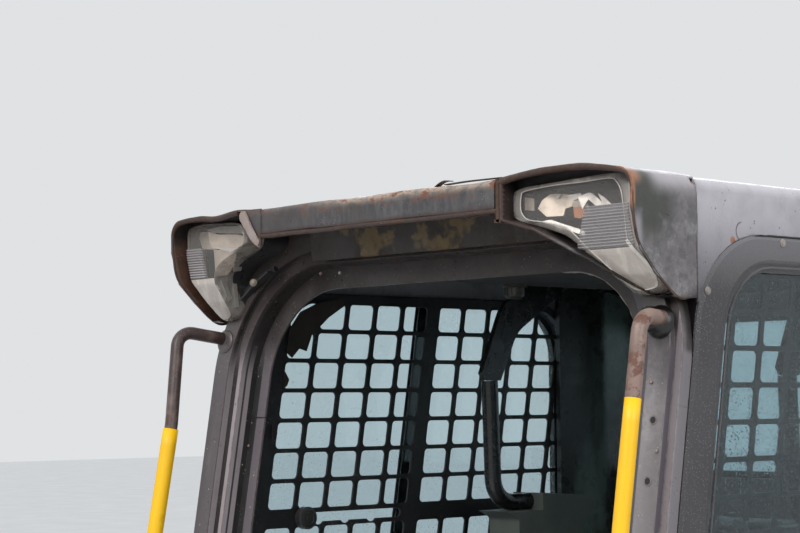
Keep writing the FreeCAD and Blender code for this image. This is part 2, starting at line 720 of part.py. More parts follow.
def plate_face(corners, x):
    """A flat face in a plane across X, from an outline with rounded corners."""
    points = [FreeCAD.Vector(x, value(c[0]), value(c[1])) for c in corners]
    edges = []
    ends = []
    for i, corner in enumerate(corners):
        back = unit(points[i], points[i - 1])
        ahead = unit(points[i], points[(i + 1) % len(points)])
        half = back.getAngle(ahead) / 2
        radius = value(corner[2])
        start = points[i] + back * (radius / math.tan(half))
        stop = points[i] + ahead * (radius / math.tan(half))
        centre = points[i] + (back + ahead).normalize() * (radius / math.sin(half))
        middle = centre + (points[i] - centre).normalize() * radius
        edges.append(Part.Arc(start, middle, stop).toShape())
        ends.append((start, stop))
    for i in range(len(points)):
        following = ends[(i + 1) % len(points)]
        edges.append(Part.LineSegment(ends[i][1], following[0]).toShape())
    return Part.Face(Part.Wire(Part.__sortEdges__(edges)))


def roof_panel():
    """Roof skin: down-turned sides that follow the window's corner, a raised middle."""
    body = new_body("roof_panel")
    low = "(roof_top - hood_tail)"
    sketch = draw(sketch_on(body, "XZ_Plane", f"-{ROOF_Y}"), [
        (f"-{HALF}", low), (f"-{HALF}", "roof_top", "roof_radius"),
        (HALF, "roof_top", "roof_radius"), (HALF, low),
        (SKIN_IN, low), (SKIN_IN, ROOF_UNDER, "roof_radius - skin"),
        (f"-{SKIN_IN}", ROOF_UNDER, "roof_radius - skin"), (f"-{SKIN_IN}", low),
    ])
    skin = pad(body, sketch, f"rear_reach - {ROOF_Y}")
    skin.Reversed = True
    corner = ring_outline("skin_gap")[3]
    below = f"({low} - post_width)"
    pocket(body, draw(sketch_on(body, "YZ_Plane"), [
        (plane_y(below, "side_return + skin_gap"), below),
        ("rear_reach + wall", below),
        ("rear_reach + wall", corner[1]),
        corner,
    ]))
    side = f"({HALF} - roof_panel_edge)"
    front = f"({ROOF_Y} + roof_panel_edge)"
    back = "(rear_reach - roof_panel_edge)"
    pad(body, draw(sketch_on(body, "XY_Plane", "roof_top"), [
        (f"-{side}", front, "roof_panel_radius"), (side, front, "roof_panel_radius"),
        (side, back, "roof_panel_radius"), (f"-{side}", back, "roof_panel_radius"),
    ]), "roof_panel_rise")
    return body


def rear_wall():
    """Rear wall with the wide rear window cut through and a pressed panel below it."""
    bend = "roof_radius - skin"
    body = slab("rear_wall", "XZ_Plane", [
        (f"-{SKIN_IN}", "sill_height"), (SKIN_IN, "sill_height"),
        (SKIN_IN, ROOF_UNDER, bend), (f"-{SKIN_IN}", ROOF_UNDER, bend)],
        "-rear_reach", "wall", [rear_outline("0")])
    side = f"({HALF} - rear_window_side)"
    low = "(sill_height + panel_edge)"
    high = f"({REAR_WINDOW_LOW} - panel_edge)"
    recess(body, draw(sketch_on(body, "XZ_Plane", "-rear_reach"), [
        (f"-{side}", low, "panel_radius"), (side, low, "panel_radius"),
        (side, high, "panel_radius"), (f"-{side}", high, "panel_radius")]),
        "panel_depth", True)
    return body


def rear_outline(inset):
    """Rear window's outline, drawn in by an expression."""
    half = f"({HALF} - rear_window_side - ({inset}))"
    low = f"{REAR_WINDOW_LOW} + ({inset})"
    high = f"roof_top - rear_window_head - ({inset})"
    bend = f"rear_window_radius - ({inset})"
    return [(f"-{half}", low, bend), (half, low, bend),
            (half, high, bend), (f"-{half}", high, bend)]


def rear_glass():
    """Rear window pane."""
    return slab("rear_glass", "XZ_Plane", rear_outline("fit_gap"),
                "-rear_reach + wall / 2", "glass")


def rear_seal(pane):
    """Rubber seal round the rear pane, with the groove that holds it."""
    ring = doc.addObject("PartDesign::Body", "rear_seal_ring")
    start = "-rear_reach + wall / 2 - seal_lip"
    pad(ring, draw(sketch_on(ring, "XZ_Plane", start), rear_outline("0")),
        "glass + 2 * seal_lip")
    pocket(ring, draw(sketch_on(ring, "XZ_Plane", start), rear_outline("seal_width")))
    return without("rear_seal", ring, [pane])


def visor():
    """Rolled visor between the lamps: roof edge, round nose, front face, turned-in lip."""
    nose = "(roof_top + visor_rise)"
    foot = "(roof_top - visor_drop)"
    inner = "visor_radius - skin"
    return slab("visor", "YZ_Plane", [
        (ROOF_Y, "roof_top"),
        (HOOD_Y, nose, "visor_radius"),
        (HOOD_Y, foot, "visor_radius"),
        (f"{HOOD_Y} + visor_lip + visor_radius", foot),
        (f"{HOOD_Y} + visor_lip + visor_radius", f"{foot} + skin"),
        (f"{HOOD_Y} + skin", f"{foot} + skin", inner),
        (f"{HOOD_Y} + skin", f"{nose} - skin", inner),
        (ROOF_Y, ROOF_UNDER),
    ], f"-{VISOR_HALF}", f"2 * {VISOR_HALF}")


# Rim of a lamp hood from the side, in shares of the hood's depth (back from its front) and
# of its tail's drop, and the share of the lens's set-back that is left there.
HOOD_RIM = ((0, 0.287, 1), (0.124, 0.599, 0.7), (0.355, 0.777, 0.4), (0.661, 0.962, 0),
            (0.876, 0.987, 0))
BEHIND_RIM = HOOD_RIM[:-1]
BOWL_RIM = HOOD_RIM[:-2]
# The shelf under a lamp from the front, in shares of the lamp's width and the tail's drop.
SHELF = ((0, 0.299), (0.244, 0.401), (0.493, 0.592), (0.862, 0.975), (1, 0.975))


def hood_block(name, rows, inset, set_back="0", more="0", behind=None):
    """Solid inside a lamp hood, drawn in by inset, its front behind the hood's rim."""
    body = doc.addObject("PartDesign::Body", name)
    rim = [(f"{HOOD_Y} + {back} * hood_depth + {share} * ({set_back}) + ({more})",
            f"roof_top - {down} * hood_tail") for back, down, share in rows]
    crown = f"roof_top + visor_rise + hood_crown - ({inset})"
    low = rim[-1][1]
    if behind is None:
        tail = [(ROOF_Y, low), (ROOF_Y, f"roof_top - ({inset})")]
    else:
        tail = [(plane_y(low, behind), low), (plane_y(crown, behind), crown)]
    pad(body, draw(sketch_on(body, "YZ_Plane", f"{VISOR_HALF} + ({inset})"),
                   [(f"{HOOD_Y} + ({set_back}) + ({more})", crown)] + rim + tail),
        f"lamp_width - 2 * ({inset})")
    visor_top = f"roof_top + visor_rise - ({inset})"
    side = f"({HALF} - ({inset}))"
    pocket(body, draw(sketch_on(body, "XZ_Plane"), [
        (VISOR_HALF, visor_top),
        (f"{VISOR_HALF} + lamp_width / 2", crown, "hood_crown_radius"),
        (side, f"{visor_top} - hood_fall", f"roof_radius + visor_rise - ({inset})"),
        (side, f"{visor_top} - hood_tail / 2"),
        (f"{side} + wall", f"{visor_top} - hood_tail / 2"),
        (f"{side} + wall", f"{crown} + wall"), (VISOR_HALF, f"{crown} + wall")]))
    lift = f"1.2 * ({inset})"
    shelf = [(f"{VISOR_HALF} + {along} * lamp_width", f"roof_top - {down} * hood_tail + {lift}")
             for along, down in SHELF]
    pocket(body, draw(sketch_on(body, "XZ_Plane"), [
        (f"{VISOR_HALF} - wall", shelf[0][1]), *shelf,
        (f"{HALF} + wall", shelf[-1][1]),
        (f"{HALF} + wall", "roof_top - 2 * hood_tail"),
        (f"{VISOR_HALF} - wall", "roof_top - 2 * hood_tail")]))
    return body


def behind_plane(name, depth, half):
    """A block that fills the cab behind a plane parallel to the leaning front."""
    body = doc.addObject("PartDesign::Body", name)
    pad(body, draw(sketch_on(body, "YZ_Plane", f"-({half})"), [
        (plane_y("sill_height", depth), "sill_height"),
        ("0", "sill_height"), ("0", ROOF_UNDER), (plane_y(ROOF_UNDER, depth), ROOF_UNDER)]),
        f"2 * ({half})")
    return body


def lamp_hood(label):
    """Corner hood over a lamp: cheeks, top and the sloping shelf, open front and back."""
    outer = hood_block(label + "_outer", HOOD_RIM, "0")
    hollow = hood_block(label + "_hollow", BEHIND_RIM, "skin", more="-wall", behind="0")
    return without(label, outer, [hollow, behind_plane(label + "_trim", "0", SKIN_IN)])


def lamp_body(label):
    """Lamp bowl: a block that fills the hood from the lens back, hollowed from the front."""
    block = hood_block(label + "_block", BEHIND_RIM, "skin", "lens_set", "lens", "-lamp_gap")
    hollow = hood_block(label + "_hollow", BOWL_RIM, "skin + lamp_wall", more="-wall",
                        behind="-lamp_gap - 2 * lamp_wall")
    return without(label, block, [hollow])


def lamp_lens(label):
    """Lens: the hood's rim shape, set back, as a plate of even thickness."""
    block = hood_block(label + "_block", BEHIND_RIM, "skin", "lens_set", behind="-lamp_gap")
    rest = hood_block(label + "_rest", BEHIND_RIM, "0", "lens_set", "lens", "0")
    return without(label, block, [rest])


def visor_pan():
    """Pressed underside of the visor: from the lip up into a recess and down the arch."""
    foot = "(roof_top - visor_drop + skin)"
    high = f"({foot} + recess_rise)"
    lip = f"({HOOD_Y} + visor_radius)"
    low = "(roof_top - head_line)"
    return slab("visor_pan", "YZ_Plane", [
        (lip, foot), (f"{lip} + visor_lip", foot), (f"{lip} + visor_lip + recess_rise", high),
        (plane_y(high, "-recess_rise"), high), (plane_y(low, "-skin"), low),
        (plane_y(low), low), (plane_y(f"{high} + skin"), f"{high} + skin"),
        (f"{lip} + visor_lip + recess_rise - skin / 3", f"{high} + skin"),
        (f"{lip} + visor_lip - skin / 3", f"{foot} + skin"), (lip, f"{foot} + skin"),
    ], f"-{VISOR_HALF}", f"2 * {VISOR_HALF}")


def handle_run(bow):
    """The handle's long run in the leaning frame, from its top to its foot, with a bend."""
    stand = value("-handle_stand_off")
    x = value(HANDLE_X)
    top = value(HANDLE_TOP)
    run = [FreeCAD.Vector(x, stand, top), FreeCAD.Vector(x, stand, value(HANDLE_LOW))]
    if bow:
        run.insert(1, FreeCAD.Vector(x - bow, stand, top - value("handle_kink")))
    return run


def grab_handle(label, bow=0):
    """Bent tube on the post: upper leg, grip run along the post, lower leg."""
    depth = value("wall")
    foot = value(HANDLE_FOOT_X)
    run = handle_run(bow)
    points = [FreeCAD.Vector(foot, depth, run[0].z), *run,
              FreeCAD.Vector(foot, depth, run[-1].z)]
    wire = rounded_path(points, value("2.4 * handle_radius"))
    thing = doc.addObject("Part::Feature", label)
    post = Part.makeBox(value("cab_width"), depth + value("skin"), value("roof_top"))
    thing.Shape = swept(wire, value("handle_radius")).cut(post)
    thing.Placement = front_placement()
    return finish(thing, label)


def grab_handles():
    """The straight left handle and the right one, which is bent inwards, as one node."""
    left = grab_handle("grab_handle_left")
    bent = grab_handle("grab_handle_bent", value("handle_bow"))
    return joined("grab_handles", left, bent)


def front_placement():
    """The leaning frame of the front as a placement."""
    turn = FreeCAD.Rotation(FreeCAD.Vector(1, 0, 0), -value("lean_angle"))
    return FreeCAD.Placement(FreeCAD.Vector(0, value(FOOT_Y), 0), turn)


def rounded_path(points, radius):
    """Straight runs joined by tangent arcs of one radius."""
    edges = []
    start = points[0]
    for before, corner, after in zip(points, points[1:], points[2:]):
        back = unit(corner, before)
        ahead = unit(corner, after)
        half = back.getAngle(ahead) / 2
        enter = corner + back * (radius / math.tan(half))
        leave = corner + ahead * (radius / math.tan(half))
        centre = corner + (back + ahead).normalize() * (radius / math.sin(half))
        middle = centre + (corner - centre).normalize() * radius
        edges.append(Part.LineSegment(start, enter).toShape())
        edges.append(Part.Arc(enter, middle, leave).toShape())
        start = leave
    edges.append(Part.LineSegment(start, points[-1]).toShape())
    return Part.Wire(edges)


def swept(wire, radius):
    """A round bar along a path."""
    first = wire.Edges[0]
    start = first.valueAt(first.FirstParameter)
    along = first.tangentAt(first.FirstParameter)
    ring = Part.Wire([Part.makeCircle(radius, start, along)])
    return wire.makePipeShell([ring], True, False)


def grip(label, bow=0, start="grip_start"):
    """Grip sleeve on the lower straight stretch of the handle's long run."""
    above, below = handle_run(bow)[-2:]
    along = unit(below, above)
    top = value(f"{HANDLE_TOP} - {start}")
    low = value(f"{HANDLE_LOW} + grip_end")
    foot = below + along * ((low - below.z) / along.z)
    length = (top - low) / along.z
    outer = Part.makeCylinder(value("grip_radius"), length, foot, along)
    inner = Part.makeCylinder(value("handle_radius"), length, foot, along)
    thing = doc.addObject("Part::Feature", label)
    thing.Shape = outer.cut(inner)
    thing.Placement = front_placement()
    return finish(thing, label)


def grips():
    """The grip sleeves of both handles as one node."""
    left = grip("grip_left")
    bent = grip("grip_bent", value("handle_bow"), "grip_start_right")
    return joined("grips", left, bent)


def seat_pan():
    """Pressed seat deck: riser from the foot frame and the level deck behind it."""
    deck = "(deck_height - deck_sheet)"
    return slab("seat_pan", "YZ_Plane", [
        (DECK_Y, "sill_height"), (DECK_Y, "deck_height"), (REAR_IN, "deck_height"),
        (REAR_IN, deck), (f"{DECK_Y} + deck_sheet", deck),
        (f"{DECK_Y} + deck_sheet", "sill_height")], f"-{WALL_IN}", f"2 * {WALL_IN}")


def seat_base():
    """Seat stand under the cushion with the plate that carries the backrest."""
    front = f"({SEAT_Y} + stand_inset)"
    back = f"({BACK_Y} + back_thick)"
    shift = "(back_plate_rise * tan(back_lean))"
    high = f"({BACK_LOW} + back_plate_rise)"
    return slab("seat_base", "YZ_Plane", [
        (front, "deck_height"), (f"{back} + back_plate", "deck_height"),
        (f"{back} + back_plate", BACK_LOW), (f"{back} + back_plate + {shift}", high),
        (f"{back} + {shift}", high), (back, BACK_LOW), (back, CUSHION_LOW),
        (front, CUSHION_LOW)],
        f"-{SEAT_HALF} + stand_inset", f"2 * ({SEAT_HALF} - stand_inset)")


def seat_cushion():
    """Seat cushion, rounder at its front edge."""
    bend = "cushion_radius"
    return slab("seat_cushion", "YZ_Plane", [
        (SEAT_Y, CUSHION_LOW, bend), (BACK_Y, CUSHION_LOW, bend),
        (BACK_Y, CUSHION_TOP, bend), (SEAT_Y, CUSHION_TOP, f"2 * {bend}")],
        f"-{SEAT_HALF}", f"2 * {SEAT_HALF}")


def seat_back():
    """Backrest, leaning back."""
    shift = "(back_rise * tan(back_lean))"
    bend = "back_radius"
    return slab("seat_back", "YZ_Plane", [
        (BACK_Y, BACK_LOW, bend), (f"{BACK_Y} + back_thick", BACK_LOW, bend),
        (f"{BACK_Y} + back_thick + {shift}", BACK_TOP, bend),
        (f"{BACK_Y} + {shift}", BACK_TOP, bend)],
        f"-{SEAT_HALF}", f"2 * {SEAT_HALF}")


# Side outline of a restraint arm from its pivot: forward and corner radius in shares of
# bar_reach, up in shares of bar_drop.
ARM_OVER = ((-0.016, 0.904, 0.18), (0.46, 0.956, 0.26), (0.82, 0.767, 0.12),
            (0.924, 0.534, 0))
ARM_FOOT = (0.908, 0.51)
ARM_UNDER = ((0.836, 0.51, 0), (0.756, 0.673, 0.12), (0.476, 0.851, 0.16),
             (0.12, 0.793, 0.12))
TUBE_HEAD = (0.88, 0.509)


def from_pivot(forward, up):
    """A point of the restraint bar, given in shares of its reach and its drop."""
    return f"({PIVOT_Y} - {forward} * bar_reach)", f"({PIVOT_Z} + {up} * bar_drop)"


def restraint_arm(label):
    """Curved plate arm from the rear pivot, along the ceiling, down to its tube."""
    def corner(forward, up, radius):
        return (*from_pivot(forward, up), *([f"{radius} * bar_reach"] if radius else []))
    bend = "0.9 * bar_eye"
    body = slab(label, "YZ_Plane", [
        (f"{PIVOT_Y} + bar_eye", f"{PIVOT_Z} - bar_eye", bend),
        *[corner(*point) for point in ARM_OVER],
        from_pivot(*ARM_FOOT),
        *[corner(*point) for point in ARM_UNDER],
        (f"{PIVOT_Y} - bar_eye", f"{PIVOT_Z} - bar_eye", bend)],
        f"{BAR_X} - bar_plate / 2", "bar_plate")
    sketch = sketch_on(body, "YZ_Plane")
    circle(sketch, PIVOT_Y, PIVOT_Z, "bar_shaft")
    pocket(body, sketch)
    return body


def restraint_tube(label):
    """Bent bar that drops from the arm's end and turns forward into the pad."""
    run = value(f"{PIVOT_Z} + pad_rise")
    head_y, head_z = (value(text) for text in from_pivot(*TUBE_HEAD))
    ahead = value("bar_tube / 2")
    points = [(head_y, head_z), (head_y + ahead, run), (value(f"{PIVOT_Y} - pad_reach"), run)]
    wire = rounded_path([FreeCAD.Vector(value(BAR_X), y, z) for y, z in points],
                        value("bar_bend"))
    thing = doc.addObject("Part::Feature", label)
    thing.Shape = swept(wire, value("bar_tube"))
    return finish(thing, label)


# Side outline of an arm pad from the tube's end, in multiples of the tube's radius: back,
# up from the tube's middle, corner radius.
PAD = ((0, 1, 0), (6.9, 0.6, 4.3), (9.9, -0.4, 0.7), (8, -2.4, 1.4), (6.3, -4.4, 0.9),
       (-4.1, -4.4, 0.9), (-4.1, -1.9, 0.5), (-6, -1, 0), (0, -1, 0))


def arm_pad(label):
    """Moulded pad at the end of a restraint tube, with a shelf under the tube."""
    corners = []
    for back, up, radius in PAD:
        corner = (f"{PIVOT_Y} - pad_reach + {back} * bar_tube",
                  f"{PIVOT_Z} + pad_rise + {up} * bar_tube")
        corners.append((*corner, f"{radius} * bar_tube") if radius else corner)
    return slab(label, "YZ_Plane", corners, f"{BAR_X} - pad_width / 2", "pad_width")


def restraint_crossbar():
    """Torsion tube between the arms with a shaft that runs in the brackets."""
    inner = f"({BAR_X} - bar_plate / 2)"
    outer = f"({BAR_X} + bar_plate / 2 + bracket_gap + bracket_plate + skin)"
    tube = rod("cross_tube", "x", (f"-{inner}", PIVOT_Y, PIVOT_Z), "bar_tube", f"2 * {inner}")
    shaft = rod("cross_shaft", "x", (f"-{outer}", PIVOT_Y, PIVOT_Z), "bar_shaft",
                f"2 * {outer}")
    return fused("restraint_crossbar", [tube, shaft])


def pivot_bracket(label):
    """Bracket on the rear wall that carries one end of the pivot shaft."""
    nose = f"{PIVOT_Y} - bracket_nose"
    body = slab(label, "YZ_Plane", [
        (REAR_IN, f"{PIVOT_Z} - bracket_half"), (REAR_IN, f"{PIVOT_Z} + bracket_half"),
        (nose, f"{PIVOT_Z} + bracket_nose", "0.95 * bracket_nose"),
        (nose, f"{PIVOT_Z} - bracket_nose", "0.95 * bracket_nose")],
        f"{BAR_X} + bar_plate / 2 + bracket_gap", "bracket_plate")
    sketch = sketch_on(body, "YZ_Plane")
    circle(sketch, PIVOT_Y, PIVOT_Z, "bar_shaft + shaft_gap")
    pocket(body, sketch)
    return body


def headliner():
    """Moulded headliner: a low middle and a raised channel along each side."""
    low = CEILING_MID
    high = CEILING_SIDE
    mid = CEILING_HALF
    inner = f"({CEILING_HALF} + ceiling_slope)"
    return slab("headliner", "XZ_Plane", [
        (f"-{WALL_IN}", high), (f"-{inner}", high), (f"-{mid}", low),
        (mid, low), (inner, high), (WALL_IN, high),
        (WALL_IN, f"{high} + liner"), (f"{inner} - liner", f"{high} + liner"),
        (f"{mid} - liner", f"{low} + liner"), (f"-{mid} + liner", f"{low} + liner"),
        (f"-{inner} + liner", f"{high} + liner"), (f"-{WALL_IN}", f"{high} + liner")],
        f"-{REAR_IN}", f"{REAR_IN} - {plane_y('roof_top', 'post_depth + fit_gap')}")


def corner_trim(label):
    """Bulging moulded trim in a rear corner, from the seat deck to the headliner."""
    front = f"({REAR_IN} - trim_run)"
    step = f"({WINDOW_BACK} + grille_lap + fit_gap)"
    side = f"({WALL_IN} - grille - trim_gap)"
    return slab(label, "XY_Plane", [
        (side, front), (side, step), (WALL_IN, step), (WALL_IN, REAR_IN),
        (f"{HALF} - rear_window_side + grille", REAR_IN),
        (f"{WALL_IN} - trim_proud", f"({REAR_IN} + {front}) / 2", "trim_radius"),
        (f"{side} - liner", front)],
        "deck_height", f"{CEILING_SIDE} - deck_height")


def console(label):
    """Control console beside the seat."""
    front = f"({DECK_Y} + console_half / 2)"
    back = f"({DECK_Y} + console_half / 2 + console_length)"
    return slab(label, "YZ_Plane", [
        (front, "deck_height"), (back, "deck_height"),
        (back, f"{CONSOLE_TOP} - console_half / 2", "cushion_radius"),
        (f"({front} + {back}) / 2", CONSOLE_TOP, "2 * cushion_radius"),
        (front, CONSOLE_TOP, "cushion_radius")],
        f"{CONSOLE_X} - console_half", "2 * console_half")


# Outline of a control lever in multiples of its radius: out from the axis, up.
LEVER = ((4.2, 0), (1, 6.4), (1, 13.3), (2.6, 15), (2.6, 22))


def lever(label):
    """Control lever: boot, stalk and knob as one turned piece."""
    body = new_body(label)
    corners = [(f"{out} * lever_radius", f"{up} * lever_radius") for out, up in LEVER]
    sketch = draw(sketch_on(body, "XZ_Plane"),
                  [("0", "0"), *corners, ("0", corners[-1][1])])
    turned = body.newObject("PartDesign::Revolution", "Revolution")
    turned.Profile = sketch
    turned.ReferenceAxis = (sketch, ["V_Axis"])
    turned.Angle = 360
    bind(body, Placement__Base__x=CONSOLE_X,
         Placement__Base__y=f"{DECK_Y} + console_half / 2 + lever_back",
         Placement__Base__z=CONSOLE_TOP)
    return body


def dome_light():
    """Small cabin light under the headliner's middle."""
    left = f"(-{CEILING_HALF} + dome_inset)"
    right = f"({left} + dome_length)"
    bend = "dome_width / 4"
    return slab("dome_light", "XY_Plane", [
        (left, "0", bend), (right, "0", bend),
        (right, "dome_width", bend), (left, "dome_width", bend)],
        f"{CEILING_MID} - dome_height", "dome_height")


def build():
    """Makes every sub-part."""
    base_frame()
    front_arch()
    pair(arch_bend, "arch_bends")
    pair(front_post, "front_posts")
    both_sides(side_wall, "side_wall")
    both_sides(window_ring, "window_ring")
    both_sides(side_glass, "side_glass")
    both_sides(side_grille, "side_grille")
    pair(window_latch, "window_latches")
    roof_panel()
    rear_wall()
    rear_seal(rear_glass())
    visor()
    visor_pan()
    both_sides(lamp_hood, "lamp_hood")
    both_sides(lamp_body, "lamp_body")
    both_sides(lamp_lens, "lamp_lens")
    headliner()
    pair(corner_trim, "corner_trims")
    dome_light()
    grab_handles()
    grips()
    seat_pan()
    seat_base()
    seat_cushion()
    seat_back()
    pair(restraint_arm, "restraint_arms")
    pair(restraint_tube, "restraint_tubes")
    pair(arm_pad, "arm_pads")
    restraint_crossbar()
    pair(pivot_bracket, "pivot_brackets")
    pair(console, "consoles")
    pair(lever, "levers")


def write():
    """Checks every object and writes each sub-part."""
    doc.recompute()
    for thing in doc.Objects:
        bad = {"Invalid", "Error"} & set(thing.State)
        if bad:
            raise RuntimeError(f"{thing.Name} ({thing.Label}): {thing.State}")
    os.makedirs("parts", exist_ok=True)
    for thing in parts:
        shape = thing.Shape
        if shape.isNull() or not shape.isValid():
            raise RuntimeError(f"{thing.Label}: bad shape")
        shape.exportStep(f"parts/{thing.Label}.step")
        print(thing.Label, len(shape.Solids), round(shape.Volume), shape.BoundBox)


build()
write()
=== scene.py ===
"""Looks of the skid steer loader cab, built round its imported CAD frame.

Lengths are metres in the frame of the part: +X the machine's left, -Y its front, +Z up.
"""

import json
import math

import bmesh
import bpy
from mathutils import Matrix, Vector, noise
from mathutils.bvhtree import BVHTree


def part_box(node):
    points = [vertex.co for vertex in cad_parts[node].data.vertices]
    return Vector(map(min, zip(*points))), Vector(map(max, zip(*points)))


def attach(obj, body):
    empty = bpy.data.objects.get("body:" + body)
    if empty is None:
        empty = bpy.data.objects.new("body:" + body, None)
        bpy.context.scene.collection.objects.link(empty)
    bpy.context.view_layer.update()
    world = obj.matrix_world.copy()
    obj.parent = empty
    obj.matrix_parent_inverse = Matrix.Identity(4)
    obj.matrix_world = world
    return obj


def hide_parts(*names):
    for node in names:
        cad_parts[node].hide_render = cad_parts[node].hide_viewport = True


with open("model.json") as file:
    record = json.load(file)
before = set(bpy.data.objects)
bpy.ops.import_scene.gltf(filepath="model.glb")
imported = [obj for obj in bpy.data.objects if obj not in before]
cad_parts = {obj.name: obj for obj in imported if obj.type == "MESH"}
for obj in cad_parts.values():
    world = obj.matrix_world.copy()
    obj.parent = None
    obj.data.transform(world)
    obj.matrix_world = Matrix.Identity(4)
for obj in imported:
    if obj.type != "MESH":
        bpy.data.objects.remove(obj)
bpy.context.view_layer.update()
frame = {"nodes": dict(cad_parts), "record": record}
NODES = frame["nodes"]
SLOTS = {part["node"]: part["material_slot"] for part in frame["record"]["subparts"]}
MATERIALS = {}

LEAN = math.radians(9.25)      # of the front plane
TAN, COS, SIN = math.tan(LEAN), math.cos(LEAN), math.sin(LEAN)
FACING = (0, -COS, SIN)        # out of the front plane
FOOT_Y = -0.576                # front plane at the floor
HALF = 0.475                   # half the cab's width
HOOD_Y = -0.465                # front of visor and hoods
SIDES = ((1, "left"), (-1, "right"))
CAMERA_PLACE, CAMERA_TURN, CAMERA_LENS = (2.0111, -2.2245, 1.1021), (47.98, 3.94, -0.385), 87.41


def plane_y(z, depth=0.0):
    """Y of the leaning front plane at a height, or of a plane behind it."""
    return FOOT_Y + z * TAN + depth / COS


def on_front(x, depth, along):
    """A point in the leaning frame of the front: sideways, behind the plane, up the post."""
    return Vector((x, FOOT_Y + depth * COS + along * SIN, along * COS - depth * SIN))


def mm(x, y, z):
    """A point given in millimetres."""
    return Vector((x / 1000, y / 1000, z / 1000))


# ---------------------------------------------------------------- camera

def aim(position, azimuth, pitch, roll):
    """Camera matrix: azimuth 0 looks along +Y, pitch up and roll in degrees."""
    a, p, r = (math.radians(v) for v in (azimuth, pitch, roll))
    ahead = Vector((-math.sin(a) * math.cos(p), math.cos(a) * math.cos(p), math.sin(p)))
    right = Vector((math.cos(a), math.sin(a), 0))
    up = right.cross(ahead)
    turned_right = right * math.cos(r) + up * math.sin(r)
    turned_up = up * math.cos(r) - right * math.sin(r)
    rows = zip(turned_right, turned_up, -ahead, position)
    return Matrix([list(row) for row in rows] + [[0, 0, 0, 1]])


camera_data = bpy.data.cameras.new("camera")
camera_data.sensor_width = 36
camera_data.lens = CAMERA_LENS
camera_data.clip_start = 0.05
camera = bpy.data.objects.new("camera", camera_data)
bpy.context.collection.objects.link(camera)
camera.matrix_world = aim(CAMERA_PLACE, *CAMERA_TURN)
bpy.context.scene.camera = camera
bpy.context.scene.view_settings.view_transform = "Standard"


# ---------------------------------------------------------------- node helpers

